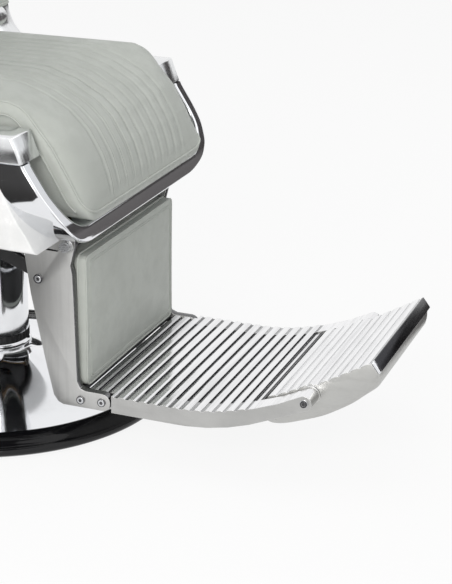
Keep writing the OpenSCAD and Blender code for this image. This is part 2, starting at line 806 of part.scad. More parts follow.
module toe_flap() {
  color([0.88, 0.88, 0.88])
  difference() {
    union() {
      side_prism(-flap_x, flap_x) flap_top_profile();
      difference() {
        flap_belly();
        side_prism(-flap_x + 12, flap_x - 12) polygon(concat([for (p = belly) p + [6, 3]],
          [[flap_rear - 6, 128], [-680, 146], [-715, 160], [-745, 172], [-790, 200]]));
      }
      both_sides() bar_x(flap_h, 16, flap_x - 20, flap_x + flap_side - 0.5);
    }
    both_sides() bar_x(flap_h, foot_pin_r + run, flap_x - 21, flap_x + flap_side);
  }
}

module flap_edge() {
  n = [-(tip_top[1] - tip_low[1]), tip_top[0] - tip_low[0]] / norm(tip_top - tip_low);
  color([0.2, 0.2, 0.21])
  side_prism(-flap_x + 4, flap_x - 2) polygon([tip_top, tip_low, tip_low + 5 * n, tip_top + 5 * n]);
}

// ---------- back ----------

cush_low = 76;
post_y = 40;
module back_frame() {
  color([0.12, 0.12, 0.13])
  difference() {
    union() {
      both_sides() {
        side_prism(frame_x, frame_x + frame_t) {
          translate(recline_b) circle(20);
          translate(recline_b + lever_v) circle(eye_r);
          web(recline_b, recline_b + lever_v, 24);
        }
        leaning() side_prism(frame_x, frame_x + frame_t) {
          translate([26, 10]) square([28, cush_low + back_h - 50]);
          polygon([[-19, 0], [17, -9], [54, 30], [54, 60], [26, 60]]);
        }
      }
      leaning() for (z = [cush_low + 30, cush_low + back_h - 66])
        translate([-frame_x, 28, z]) cube([2 * frame_x, 24, 26]);
      mirror([1, 0, 0]) {
        side_prism(frame_x + frame_t - 1, sector_x + 1) translate(recline_b) circle(16);
        side_prism(sector_x, sector_x + sector_t) translate(recline_b) {
          circle(19);
          difference() {
            polygon(concat([[0, 0]], arc([0, 0], sector_r, lock_a - 9, lock_a + 9 + recline_max, 12)));
            polygon(concat(arc([0, 0], sector_r - 24, lock_a, lock_a + recline_max, 10),
              arc([0, 0], 34, lock_a + recline_max, lock_a, 6)));
          }
        }
      }
    }
    bar_x(recline_b, leg_pin_r + run, -300, 300);
    bar_x(recline_b + lever_v, link_pin_r, -300, 300);
    leaning() for (s = [-1, 1])
      translate([s * post_gap / 2, post_y, cush_low + back_h - 80]) cylinder(r = post_r + 1, h = 60);
  }
}

module back_link_pins() {
  color([0.75, 0.76, 0.78])
  both_sides() bar_x(recline_b + lever_v, link_pin_r, link_x - 3, frame_x + frame_t);
}

module back_board() {
  color([0.55, 0.42, 0.28])
  leaning() front_prism(14, 26)
    round_rect([-back_w / 2 + 10, cush_low + 8], [back_w / 2 - 10, cush_low + back_h - 8], 30);
}

module back_cushion() {
  color([0.68, 0.69, 0.66])
  leaning() front_prism(14 - soft_gap - back_t, 14 - soft_gap)
    round_rect([-back_w / 2, cush_low], [back_w / 2, cush_low + back_h], 42);
}

module back_shell() {
  color([0.93, 0.93, 0.91])
  leaning() difference() {
    intersection() {
      front_prism(26, 100)
        round_rect([-back_w / 2 + 2, cush_low - 6], [back_w / 2 - 2, cush_low + back_h + 4], 40);
      side_prism(-back_w / 2, back_w / 2) polygon([[26, 0], [26, 900], [44, 900],
        [64, cush_low + back_h - 40], [78, cush_low + 120], [70, cush_low + 20], [58, 0]]);
    }
    front_prism(25, 54) round_rect([-back_w / 2 + 6, cush_low - 40], [back_w / 2 - 6, cush_low + back_h], 36);
    for (s = [-1, 1])
      translate([s * post_gap / 2, post_y, cush_low + back_h - 20]) cylinder(r = 13, h = 60);
  }
}

module post_guides() {
  color([0.75, 0.76, 0.78])
  leaning() for (s = [-1, 1])
    translate([s * post_gap / 2, post_y, cush_low + back_h - 40]) difference() {
      union() {
        cylinder(r = 12, h = 48);
        translate([0, 0, 46]) cylinder(r = 16, h = 4);
      }
      translate([0, 0, -1]) cylinder(r = post_r + run, h = 60);
    }
}

module leg_links() {
  color([0.3, 0.31, 0.32])
  both_sides() side_prism(link_x, link_x + link_t) difference() {
    union() {
      web(leg_a + lever_v, recline_b + lever_v, 25);
      translate(leg_a + lever_v) circle(13);
      translate(recline_b + lever_v) circle(13);
    }
    translate(leg_a + lever_v) circle(link_pin_r + run);
    translate(recline_b + lever_v) circle(link_pin_r + run);
  }
}

// ---------- headrest ----------

head_z = cush_low + back_h + 26;
head_axis = [34, head_z + head_h / 2];
module headrest_posts() {
  color([0.85, 0.86, 0.88])
  leaning() {
    for (s = [-1, 1])
      translate([s * post_gap / 2, post_y, head_z + 40 - head_travel - 110])
        cylinder(r = post_r, h = head_travel + 110);
    translate([-post_gap / 2 - 10, post_y - 5.5, head_z + 30]) cube([post_gap + 20, 11, 20]);
    for (s = [-1, 1])
      side_prism(s * 26 - 4, s * 26 + 4) {
        translate(head_axis) circle(11);
        translate([24, head_z + 34]) square([20, head_h / 2 - 34]);
      }
    bar_x(head_axis, 5, -32, 32);
  }
}

module headrest_yoke() {
  color([0.3, 0.31, 0.32])
  leaning() difference() {
    union() {
      bar_x(head_axis, 10, -21.7, 21.7);
      translate([-21.7, 14, head_axis[1] - 8]) cube([43.4, 20, 16]);
      translate([-50, 10, head_axis[1] - 30]) cube([100, 5, 60]);
    }
    bar_x(head_axis, 5 + run, -40, 40);
  }
}

module headrest_board() {
  color([0.1, 0.1, 0.1])
  leaning() front_prism(2, 10)
    round_rect([-head_w / 2 + 10, head_z + 8], [head_w / 2 - 10, head_z + head_h - 8], 24);
}

module headrest_cushion() {
  color([0.68, 0.69, 0.66])
  leaning() front_prism(2 - soft_gap - head_t, 2 - soft_gap)
    round_rect([-head_w / 2, head_z], [head_w / 2, head_z + head_h], 40);
}

base_rim();
base_disc();
base_cover();
column_ring();
column_boot();
pump_cylinder();
cylinder_gland();
pump_block();
pedal_axle();
pump_pedal();
pedal_pad();
pump_plunger();
lift_ram();
column_sleeve();
thrust_ring();
spindle_nut();
swivel_hub();
swivel_beams();
side_plate_left();
side_plate_right();
cross_tubes();
seat_pan();
seat_board();
seat_shell_left();
seat_shell_right();
seat_bumper();
seat_cushion();
arm_left();
arm_right();
arm_pad_left();
arm_pad_right();
seat_bolts();
hinge_plates();
leg_pins();
recline_pins();
lock_clamp();
recline_lever();
lever_knob();
leg_bracket_left();
leg_bracket_right();
leg_crossbar();
leg_link_pins();
calf_board();
calf_pad();
foot_screws();
footplate();
flap_pins();
toe_flap();
flap_edge();
back_frame();
back_link_pins();
back_board();
back_cushion();
back_shell();
post_guides();
leg_links();
headrest_posts();
headrest_yoke();
headrest_board();
headrest_cushion();
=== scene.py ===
import json
import math

import bpy
import numpy as np
from mathutils import Matrix, Vector


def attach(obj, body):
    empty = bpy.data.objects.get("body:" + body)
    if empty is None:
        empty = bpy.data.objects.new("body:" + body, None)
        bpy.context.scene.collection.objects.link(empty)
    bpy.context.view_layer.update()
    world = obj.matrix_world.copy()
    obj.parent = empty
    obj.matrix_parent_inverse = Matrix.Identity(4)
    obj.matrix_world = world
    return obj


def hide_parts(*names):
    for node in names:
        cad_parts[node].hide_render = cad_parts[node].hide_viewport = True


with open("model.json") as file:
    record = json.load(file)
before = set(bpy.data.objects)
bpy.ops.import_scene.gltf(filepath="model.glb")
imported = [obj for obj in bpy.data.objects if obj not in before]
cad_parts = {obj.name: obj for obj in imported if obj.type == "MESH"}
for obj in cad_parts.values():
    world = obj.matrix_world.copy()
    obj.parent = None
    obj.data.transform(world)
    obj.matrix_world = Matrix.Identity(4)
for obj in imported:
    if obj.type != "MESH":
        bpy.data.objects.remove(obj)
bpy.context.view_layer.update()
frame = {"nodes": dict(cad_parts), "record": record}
print("stage: solids loaded", len(frame["nodes"]))

mm = 0.001

# side line of the tread: level, then an arc up, then straight; its finish and the toe flap follow it
plateSet = {"level": 123, "bend": -480, "radius": 413, "angle": 21}


cameraSet = {
    "place": (-2.6336, -1.4887, 1.3300),
    "yaw": 20.77,
    "pitch": -20.62,
    "roll": 0.93,
    "lens": 99.37,
    "sensor": 36,
}


def makeCamera(s):
    yaw, pitch, roll = (math.radians(s[k]) for k in ("yaw", "pitch", "roll"))
    level = math.cos(pitch)
    ahead = Vector((level * math.cos(yaw), level * math.sin(yaw), math.sin(pitch)))
    right = Vector((math.sin(yaw), -math.cos(yaw), 0))
    up = right.cross(ahead)
    rolledRight = right * math.cos(roll) + up * math.sin(roll)
    rolledUp = up * math.cos(roll) - right * math.sin(roll)
    data = bpy.data.cameras.new("camera")
    data.lens = s["lens"]
    data.sensor_width = s["sensor"]
    cam = bpy.data.objects.new("camera", data)
    bpy.context.collection.objects.link(cam)
    turn = Matrix((rolledRight, rolledUp, -ahead)).transposed().to_4x4()
    cam.matrix_world = Matrix.Translation(s["place"]) @ turn
    bpy.context.scene.camera = cam


makeCamera(cameraSet)


class Wire:
    # a node output that takes part in Python sums
    def __init__(self, finish, socket):
        self.finish = finish
        self.socket = socket

    def sum(self, operation, a, b, c=None):
        values = {0: a, 1: b}
        if c is not None:
            values[2] = c
        return self.finish.node("ShaderNodeMath", {"operation": operation}, values)

    def __add__(self, other):
        return self.sum("ADD", self, other)

    def __radd__(self, other):
        return self.sum("ADD", other, self)

    def __sub__(self, other):
        return self.sum("SUBTRACT", self, other)

    def __rsub__(self, other):
        return self.sum("SUBTRACT", other, self)

    def __mul__(self, other):
        return self.sum("MULTIPLY", self, other)

    def __rmul__(self, other):
        return self.sum("MULTIPLY", other, self)

    def __lt__(self, other):
        return self.sum("LESS_THAN", self, other)

    def __gt__(self, other):
        return self.sum("GREATER_THAN", self, other)

    def __abs__(self):
        return self.sum("ABSOLUTE", self, 0.0)

    def least(self, other):
        return self.sum("MINIMUM", self, other)

    def most(self, other):
        return self.sum("MAXIMUM", self, other)

    def power(self, other):
        return self.sum("POWER", self, other)

    def fold(self, step):
        # distance to the nearest multiple of step
        return self.sum("PINGPONG", self, step / 2)


class Finish:
    # one material: a shader, the piece's own coordinates, and short words for the patterns
    def __init__(self, name, **fixed):
        self.material = bpy.data.materials.new(name)
        self.material.use_nodes = True
        self.tree = self.material.node_tree
        self.tree.nodes.clear()
        self.shader = self.tree.nodes.new("ShaderNodeBsdfPrincipled")
        out = self.tree.nodes.new("ShaderNodeOutputMaterial")
        self.tree.links.new(self.shader.outputs[0], out.inputs[0])
        for key, value in fixed.items():
            self.feed(key, value)
        self.place = self.node("ShaderNodeTexCoord", out="Object")

    def node(self, kind, settings=None, values=None, out=0):
        made = self.tree.nodes.new(kind)
        for key, value in (settings or {}).items():
            if key == "stops":
                ramp = made.color_ramp
                ramp.elements[0].position, ramp.elements[0].color = value[0][0], paint(value[0][1])
                ramp.elements[1].position, ramp.elements[1].color = value[-1][0], paint(value[-1][1])
                for at, colour in value[1:-1]:
                    ramp.elements.new(at).color = paint(colour)
            else:
                setattr(made, key, value)
        for key, value in (values or {}).items():
            self.put(made.inputs[key], value)
        return Wire(self, made.outputs[out])

    def put(self, socket, value):
        if isinstance(value, Wire):
            self.tree.links.new(value.socket, socket)
        else:
            socket.default_value = value

    def feed(self, name, value):
        key = name.replace("_", " ")
        self.put(self.shader.inputs[key], paint(value) if key in ("Base Color", "Emission Color") else value)

    def stretched(self, sizes, turn=(0, 0, 0)):
        return self.node("ShaderNodeMapping", values={
            "Vector": self.place, "Scale": sizes, "Rotation": turn})

    def apart(self, vector):
        split = self.tree.nodes.new("ShaderNodeSeparateXYZ")
        self.put(split.inputs[0], vector)
        return [Wire(self, o) for o in split.outputs]

    def axes(self):
        return self.apart(self.place)

    def facing(self):
        # the way the surface faces, in the piece's own axes
        return self.apart(self.node("ShaderNodeTexCoord", out="Normal"))

    def cloud(self, scale, detail, rough, seed, at=None):
        return self.node("ShaderNodeTexNoise", {"noise_dimensions": "4D"}, {
            "Vector": at or self.place, "Scale": scale, "Detail": detail, "Roughness": rough, "W": seed})

    def cells(self, scale, feature="F1"):
        return self.node("ShaderNodeTexVoronoi", {"feature": feature}, {
            "Vector": self.place, "Scale": scale}, out="Distance")

    def band(self, value, low, high, newLow=0.0, newHigh=1.0):
        return self.node("ShaderNodeMapRange", {"interpolation_type": "SMOOTHSTEP"}, {
            "Value": value, "From Min": low, "From Max": high, "To Min": newLow, "To Max": newHigh})

    def blend(self, amount, a, b):
        return self.node("ShaderNodeMix", {"data_type": "RGBA"}, {
            0: amount, 6: paint(a), 7: paint(b)}, out=2)

    def softEdge(self, radius):
        return self.node("ShaderNodeBevel", {"samples": 4}, {"Radius": radius})

    def edgeWear(self, radius):
        # 1 on sharp edges, 0 on flats
        soft = self.softEdge(radius)
        flat = self.node("ShaderNodeNewGeometry", out="Normal")
        same = self.node("ShaderNodeVectorMath", {"operation": "DOT_PRODUCT"}, {0: soft, 1: flat},
                         out="Value")
        return self.band(1 - same, 0.02, 0.12)

    def relief(self, height, distance, strength=1.0, base=None):
        values = {"Height": height, "Distance": distance, "Strength": strength}
        if base is not None:
            values["Normal"] = base
        self.put(self.shader.inputs["Normal"], self.node("ShaderNodeBump", None, values))


def paint(colour):
    # a colour of three parts gets its fourth, anything else stays as it is
    if isinstance(colour, Wire) or len(colour) == 4:
        return colour
    return (*colour, 1.0)


def screen(red, green, blue):
    # screen values, all well above black, as light
    return tuple(((v / 255 + 0.055) / 1.055) ** 2.4 for v in (red, green, blue))


def toned(colour, factor, lift=0.0):
    # lighter or darker, never past white
    return tuple(min(c * factor + lift, 1) for c in colour)


roomSet = {
    "worldFill": 0.5,
    "floorShade": (0.88, 0.88, 0.88),
    "floorGlow": 0.88,
    "lamps": [
        ("keyLamp", (-3.6, -0.7, 2.0), 2.0, 75, (1.0, 0.985, 0.965)),
        ("fillLamp", (2.4, -3.0, 2.4), 3.0, 22, (0.97, 0.985, 1.0)),
        ("topLamp", (0.0, 0.2, 4.2), 3.0, 30, (1.0, 1.0, 1.0)),
    ],
    "aim": (0, -0.1, 0.4),
    "floorSize": 120,
    # dark cards that only the polished metal sees: middle, size, lean in degrees, shade
    "cards": [
        ("cardRear", (-2.1, 1.60, 0.004), (3.2, 3.0), 0, 0.012),
        ("cardAhead", (4.6, -2.5, 0.004), (8.0, 4.0), 0, 0.13),
        ("cardNear", (-0.95, -1.65, 0.005), (1.3, 1.1), 0, 0.06),
        ("cardWall", (6.2, -3.4, 1.7), (7.0, 3.4), 90, 0.11),
        ("cardTop", (-1.5, -0.75, 2.5), (1.7, 1.5), 0, 0.012),
    ],
}


def addNode(tree, kind, inputs, **settings):
    # one node of the world or the floor, its sockets linked or set
    made = tree.nodes.new(kind)
    for key, value in settings.items():
        setattr(made, key, value)
    for key, value in inputs.items():
        if isinstance(value, bpy.types.NodeSocket):
            tree.links.new(value, made.inputs[key])
        else:
            made.inputs[key].default_value = value
    return made.outputs[0] if made.outputs else None


def emptyTree(owner):
    owner.use_nodes = True
    owner.node_tree.nodes.clear()
    return owner.node_tree, owner.node_tree.nodes.new("ShaderNodeLightPath").outputs


def either(tree, a, b):
    return addNode(tree, "ShaderNodeMath", {0: a, 1: b}, operation="MAXIMUM")


def makeRoom(s):
    white = (1, 1, 1, 1)
    # the world is white to the camera, to metal and to glass, and a plain fill to the rest
    world = bpy.data.worlds.new("room")
    bpy.context.scene.world = world
    tree, rays = emptyTree(world)
    seen = either(tree, rays["Is Camera Ray"], rays["Is Glossy Ray"])
    seen = either(tree, seen, rays["Is Transmission Ray"])
    plain = addNode(tree, "ShaderNodeBackground", {0: white, 1: s["worldFill"]})
    bright = addNode(tree, "ShaderNodeBackground", {0: white, 1: 1.0})
    mix = addNode(tree, "ShaderNodeMixShader", {0: seen, 1: plain, 2: bright})
    addNode(tree, "ShaderNodeOutputWorld", {0: mix})

    # the floor keeps a share of the chair's shadow
    bpy.ops.mesh.primitive_plane_add(size=s["floorSize"], location=(0, 0, 0))
    floor = bpy.context.object
    floor.name = "floor"
    ground = bpy.data.materials.new("paleFloor")
    tree, rays = emptyTree(ground)
    seen = either(tree, rays["Is Camera Ray"], rays["Is Glossy Ray"])
    share = addNode(tree, "ShaderNodeMath", {0: seen, 1: s["floorGlow"]}, operation="MULTIPLY")
    dull = addNode(tree, "ShaderNodeBsdfDiffuse", {0: (*s["floorShade"], 1)})
    glow = addNode(tree, "ShaderNodeEmission", {0: white, 1: 1.0})
    mix = addNode(tree, "ShaderNodeMixShader", {0: share, 1: dull, 2: glow})
    addNode(tree, "ShaderNodeOutputMaterial", {0: mix})
    floor.data.materials.append(ground)

    for name, place, size, leaning, shade in s["cards"]:
        dark = bpy.data.materials.new(name)
        dark.use_nodes = True
        sockets = dark.node_tree.nodes["Principled BSDF"].inputs
        sockets["Base Color"].default_value = (shade, shade * 0.93, shade * 0.93, 1)
        sockets["Roughness"].default_value = 1.0
        bpy.ops.mesh.primitive_plane_add(size=1, location=place, rotation=(math.radians(leaning), 0, 0))
        card = bpy.context.object
        card.name = name
        card.scale = (*size, 1)
        card.data.materials.append(dark)
        card.visible_camera = card.visible_diffuse = card.visible_shadow = False
        card.visible_transmission = card.visible_volume_scatter = False

    for name, place, size, power, tint in s["lamps"]:
        data = bpy.data.lights.new(name, "AREA")
        data.shape = "SQUARE"
        data.size = size
        data.energy = power
        data.color = tint
        lamp = bpy.data.objects.new(name, data)
        bpy.context.collection.objects.link(lamp)
        aim = Vector(s["aim"]) - Vector(place)
        lamp.matrix_world = Matrix.Translation(place) @ aim.to_track_quat("-Z", "Y").to_matrix().to_4x4()
    bpy.context.scene.view_settings.view_transform = "Standard"


makeRoom(roomSet)
print("stage: camera and room ready")


def makeLeather(name, tint, channels=None):
    # coated upholstery cloth: fine pebble grain, soft mottling, a little shine worn in
    f = Finish(name, Specular_IOR_Level=0.42)
    broad = f.cloud(5.5, 3, 0.5, 1.0)
    fine = f.cloud(38, 5, 0.6, 2.0)
    pebble = f.cells(1100)
    crease = f.cells(46, "DISTANCE_TO_EDGE")
    shade = f.blend(f.band(broad, 0.35, 0.68), toned(tint, 0.93), toned(tint, 1.05))
    shade = f.blend(f.band(fine, 0.42, 0.62, 0, 0.35), shade, toned(tint, 0.9))
    shade = f.blend(f.band(pebble, 0.0, 0.5, 0.16, 0), shade, toned(tint, 0.62))
    f.feed("Base Color", shade)
    f.feed("Roughness", f.band(fine, 0.3, 0.7, 0.4, 0.56))
    height = pebble * 0.35 + fine * 0.3 + f.band(crease, 0.0, 0.03, -0.25, 0)
    if channels:
        x = f.axes()[0]
        count, pitch = channels
        line = f.band(abs(x).fold(pitch), 0.0, 0.0016, -2.6, 0.0)
        inside = f.band(abs(x), count * pitch / 2 + 0.002, count * pitch / 2 + 0.005, 1, 0)
        height = height + line * inside
    f.relief(height, 0.00045, 0.8)
    return f.material


def makeChrome(name, tint=(0.82, 0.83, 0.85), rough=0.055, rounding=0.0):
    # mirror plate with a thin film of handling, fine scuffs and pits
    f = Finish(name, Metallic=1.0)
    film = f.cloud(9, 5, 0.6, 3.0)
    scuff = f.cloud(60, 3, 0.5, 4.0, f.stretched((1, 1, 9), turn=(0.3, 0.2, 0.5)))
    pits = f.cells(420)
    f.feed("Base Color", f.blend(f.band(film, 0.45, 0.75, 0, 0.35), tint, toned(tint, 0.82)))
    f.feed("Roughness", f.band(film, 0.4, 0.75, rough, rough + 0.05) + f.band(scuff, 0.62, 0.75, 0, 0.08))
    height = scuff * 0.25 + f.band(pits, 0.0, 0.06, -0.5, 0)
    f.relief(height, 0.00003, 0.5, f.softEdge(rounding) if rounding else None)
    return f.material


def makeAlloy(name, tint, rough, along, rounding=0.0012):
    # cast and brushed aluminium: streaks along the brushing, fine casting pits, brighter rubbed edges
    f = Finish(name, Metallic=1.0)
    streak = f.cloud(140, 4, 0.6, 5.0, f.stretched(along))
    patch = f.cloud(7, 4, 0.55, 6.0)
    pits = f.cells(700)
    wear = f.edgeWear(rounding * 1.6)
    base = f.blend(f.band(patch, 0.35, 0.7), toned(tint, 0.9), toned(tint, 1.06))
    base = f.blend(f.band(streak, 0.45, 0.7, 0, 0.3), base, toned(tint, 0.78))
    base = f.blend(wear * 0.6, base, (0.9, 0.9, 0.9))
    f.feed("Base Color", base)
    f.feed("Roughness", f.band(streak, 0.3, 0.7, rough - 0.06, rough + 0.08) - wear * 0.1)
    f.relief(streak * 0.6 + f.band(pits, 0, 0.08, -0.6, 0), 0.00012, 0.6, f.softEdge(rounding))
    return f.material


# where the tread's grooves, the slot before the toe flap and the flap's rear end lie, in metres
treadSet = {
    "half": 0.2162, "rear": 0.2985, "front": 0.6165, "shallow": 0.0012, "full": 0.0030, "bottom": 0.0062,
    "slotRear": 0.6235, "slotFront": 0.6295, "slotHalf": 0.1765,
    "endHalf": 0.1715, "endFront": 0.66,
}


def makeTread(name, shine, satin, rough, s=treadSet):
    # polished on the upper faces, satin on the cheeks and below, with painted shade in the grooves, the slot
    # and the forward end faces, and painted shade on upper faces near the pad
    f = Finish(name, Metallic=1.0)
    x, y, z = f.axes()
    ways = f.facing()
    up = f.band(ways[2], 0.45, 0.75)
    ahead, wide = 0 - y, abs(x)
    # depth below the tread: level at the rear, then rising on an arc
    radius = plateSet["radius"] * mm
    along = (y - plateSet["bend"] * mm).least(0.0)
    deep = plateSet["level"] * mm + radius - (radius ** 2 - along * along).power(0.5) - z
    inGroove = f.band(deep, s["shallow"], s["full"]) * (deep < s["bottom"]) * (wide < s["half"])
    inGroove = inGroove * (ahead > s["rear"]) * (ahead < s["front"])
    slot = (ahead > s["slotRear"]) * (ahead < s["slotFront"]) * (wide < s["slotHalf"]) * up
    endFace = f.band(0 - ways[1], 0.75, 0.9) * (wide < s["endHalf"]) * (ahead < s["endFront"])
    streak = f.cloud(120, 4, 0.6, 20.0, f.stretched((0.05, 1, 1)))
    drawn = f.cloud(90, 4, 0.6, 21.0, f.stretched((1, 0.12, 1)))
    patch = f.cloud(9, 4, 0.55, 22.0)
    # painted shade: upper faces darkened where the pad above the rear edge occludes them
    near = f.node("ShaderNodeAmbientOcclusion", {"samples": 8}, {"Distance": 0.1}, out="AO")
    wear = f.edgeWear(0.0016)
    # painted shade: mask of the grooves, the slot before the flap and the forward end faces, darkened as if
    # in shadow
    paintedGrooveShade = inGroove.most(endFace).most(slot)
    top = f.blend(f.band(streak, 0.42, 0.7, 0, 0.5), shine, toned(shine, 0.72))
    side = f.blend(f.band(patch, 0.35, 0.7), satin, toned(satin, 0.84))
    side = f.blend(f.band(drawn, 0.45, 0.7, 0, 0.3), side, toned(satin, 0.75))
    base = f.blend(up, side, top)
    # painted shade: upper faces near the pad blended towards near black by the occlusion mask
    base = f.blend(f.band(near, 0.45, 0.95, 0.92, 0) * up, base, (0.06, 0.065, 0.07))
    # painted shade: near black in the grooves, the slot and on the forward end faces
    base = f.blend(paintedGrooveShade * 0.93, base, (0.03, 0.03, 0.035))
    base = f.blend(wear * 0.5, base, (0.92, 0.92, 0.92))
    f.feed("Base Color", base)
    f.feed("Roughness", (f.band(up, 0, 1, 0.36, rough) + f.band(streak, 0.4, 0.7, 0, 0.07)).most(paintedGrooveShade * 0.5))
    f.relief(streak * up * 0.5 + drawn * (1 - up) * 0.5, 0.0001, 0.6, f.softEdge(0.001))
    return f.material


def makeBracket(name, tint):
    # satin flanks, with painted dark reflection on the faces that face forward and up
    f = Finish(name, Metallic=1.0)
    ways = f.facing()
    # painted reflection: faces turned forward or up are picked out by their direction
    edge = f.band((0 - ways[1]).most(ways[2]), 0.45, 0.7)
    drawn = f.cloud(150, 4, 0.6, 24.0, f.stretched((1, 1, 0.05)))
    patch = f.cloud(8, 5, 0.6, 25.0)
    pits = f.cells(600)
    wear = f.edgeWear(0.0018)
    flank = f.blend(f.band(patch, 0.3, 0.7), tint, toned(tint, 0.85))
    flank = f.blend(f.band(drawn, 0.42, 0.7, 0, 0.35), flank, toned(tint, 0.74))
    # painted reflection: those faces are made near black
    base = f.blend(edge * 0.9, flank, (0.1, 0.1, 0.105))
    base = f.blend(wear * 0.7, base, (0.8, 0.8, 0.8))
    f.feed("Base Color", base)
    f.feed("Roughness", f.band(patch, 0.3, 0.7, 0.36, 0.46) - edge * 0.14)
    f.relief(drawn * 0.6 + f.band(pits, 0, 0.07, -0.6, 0), 0.00012, 0.6, f.softEdge(0.0012))
    return f.material


def makePaint(name, tint, rough, coat=0.0, peel=0.00006, worn=(0.45, 0.45, 0.46), specular=0.5):
    # enamel or moulded plastic: faint orange peel, dust, a few specks, paint worn off sharp edges
    rounding = 0.0015
    f = Finish(name, Specular_IOR_Level=specular)
    ripple = f.cloud(260, 2, 0.5, 7.0)
    dust = f.cloud(16, 6, 0.65, 8.0)
    speck = f.cells(150)
    nick = f.cloud(75, 4, 0.7, 9.0)
    wear = f.edgeWear(rounding) * f.band(nick, 0.52, 0.6)
    base = f.blend(f.band(dust, 0.42, 0.72, 0, 0.5), tint, toned(tint, 1.25, 0.006))
    base = f.blend(f.band(speck, 0.0, 0.07, 0.35, 0), base, toned(tint, 1.9, 0.03))
    base = f.blend(wear, base, worn)
    f.feed("Base Color", base)
    f.feed("Roughness", f.band(dust, 0.35, 0.75, rough, rough + 0.16) + wear * 0.2)
    f.feed("Coat Weight", coat)
    f.relief(ripple + dust * 0.3, peel, 0.7, f.softEdge(rounding))
    return f.material


def makeRubber(name, tint):
    # matt, with a grey bloom
    f = Finish(name, Specular_IOR_Level=0.35)
    bloom = f.cloud(22, 5, 0.6, 10.0)
    grain = f.cloud(900, 3, 0.6, 11.0)
    f.feed("Base Color", f.blend(f.band(bloom, 0.4, 0.75), tint, toned(tint, 2.2, 0.01)))
    f.feed("Roughness", f.band(bloom, 0.3, 0.7, 0.55, 0.8))
    f.relief(grain, 0.0002, 0.7, f.softEdge(0.001))
    return f.material


def makePlywood(name):
    # birch, its grain along the sheet, with open pores
    f = Finish(name, Specular_IOR_Level=0.3)
    grain = f.cloud(28, 6, 0.65, 12.0, f.stretched((9, 1, 1)))
    pore = f.cloud(420, 3, 0.6, 13.0, f.stretched((3, 0.3, 0.3)))
    base = f.node("ShaderNodeValToRGB", {"stops": [
        (0.3, (0.42, 0.27, 0.13)), (0.52, (0.6, 0.42, 0.24)), (0.72, (0.72, 0.54, 0.34))]}, {0: grain})
    base = f.blend(f.band(pore, 0.6, 0.72, 0, 0.5), base, (0.28, 0.16, 0.07))
    f.feed("Base Color", base)
    f.feed("Roughness", f.band(grain, 0.3, 0.7, 0.6, 0.8))
    f.relief(grain * 0.5 + pore * 0.5, 0.0003, 0.6)
    return f.material


leatherTint = screen(186, 190, 184)
finishes = {
    "upholstery": makeLeather("greyLeather", leatherTint),
    "seatLeather": makeLeather("channelledLeather", leatherTint, channels=(10, 0.0305)),
    "chrome": makeChrome("chromePlate"),
    "dark_trim": makeChrome("darkTrim", tint=(0.16, 0.165, 0.175), rough=0.14, rounding=0.0008),
    "steel": makeAlloy("platedSteel", (0.62, 0.63, 0.65), 0.28, (1, 1, 6), rounding=0.0008),
    "arm_alloy": makeAlloy("armAlloy", (0.80, 0.81, 0.82), 0.2, (1, 0.1, 0.1)),
    "cast_aluminium": makeAlloy("satinAlloy", (0.56, 0.56, 0.55), 0.38, (1, 1, 0.06)),
    "bracket": makeBracket("bracketAlloy", (0.56, 0.56, 0.55)),
    "tread": makeTread("treadAlloy", (0.88, 0.88, 0.89), (0.53, 0.53, 0.52), 0.13),
    "flapTread": makeTread("flapAlloy", (0.90, 0.90, 0.91), (0.53, 0.53, 0.515), 0.2),
    "bandSteel": makeAlloy("bandSteel", (0.045, 0.045, 0.05), 0.2, (0.06, 1, 1), rounding=0.0006),
    "darkSteel": makeAlloy("darkSteel", (0.09, 0.09, 0.095), 0.3, (1, 1, 1), rounding=0.0006),
    "polished_arm": makeAlloy("polishedArm", (0.80, 0.81, 0.82), 0.16, (1, 0.1, 0.1)),
    "black_enamel": makePaint("blackEnamel", (0.004, 0.004, 0.005), 0.12, coat=0.15, peel=0.00003,
                              specular=0.3),
    "black_frame": makePaint("framePaint", (0.014, 0.014, 0.015), 0.42, peel=0.00025),
    "white_shell": makePaint("whiteShell", screen(232, 233, 233), 0.16, coat=0.5, peel=0.00004,
                             worn=(0.6, 0.6, 0.59)),
    "rubber": makeRubber("blackRubber", (0.018, 0.018, 0.019)),
    "knob": makePaint("knobBlack", (0.008, 0.008, 0.009), 0.12, coat=0.4, worn=(0.03, 0.03, 0.03)),
    "plywood": makePlywood("birchBoard"),
}

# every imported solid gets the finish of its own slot
nodeFinish = {part["node"]: part["material_slot"] for part in frame["record"]["subparts"]}
# and these four a finish of their own
nodeFinish.update(footplate="tread", foot_screws="darkSteel", leg_link_pins="darkSteel", flap_pins="steel")
for name, obj in frame["nodes"].items():
    for place in obj.material_slots:
        place.material = finishes.get(nodeFinish.get(name), finishes["black_frame"])
print("stage: finishes made", len(finishes))


def clearSelection():
    if bpy.context.object and bpy.context.object.mode != "OBJECT":
        bpy.ops.object.mode_set(mode="OBJECT")
    bpy.ops.object.select_all(action="DESELECT")


def pick(obj):
    clearSelection()
    obj.select_set(True)
    bpy.context.view_layer.objects.active = obj
    return obj


def onAll(obj, *steps):
    # runs each step on the whole mesh in edit mode
    pick(obj)
    bpy.ops.object.mode_set(mode="EDIT")
    for step in steps:
        bpy.ops.mesh.select_all(action="SELECT")
        step()
    bpy.ops.object.mode_set(mode="OBJECT")
    return obj


def outward():
    bpy.ops.mesh.normals_make_consistent(inside=False)


def merged():
    bpy.ops.mesh.remove_doubles(threshold=0.02 * mm)


def drawnOut(*way):
    # a step that extrudes all that is there along a way in metres
    return lambda: bpy.ops.mesh.extrude_region_move(TRANSFORM_OT_translate={"value": way})


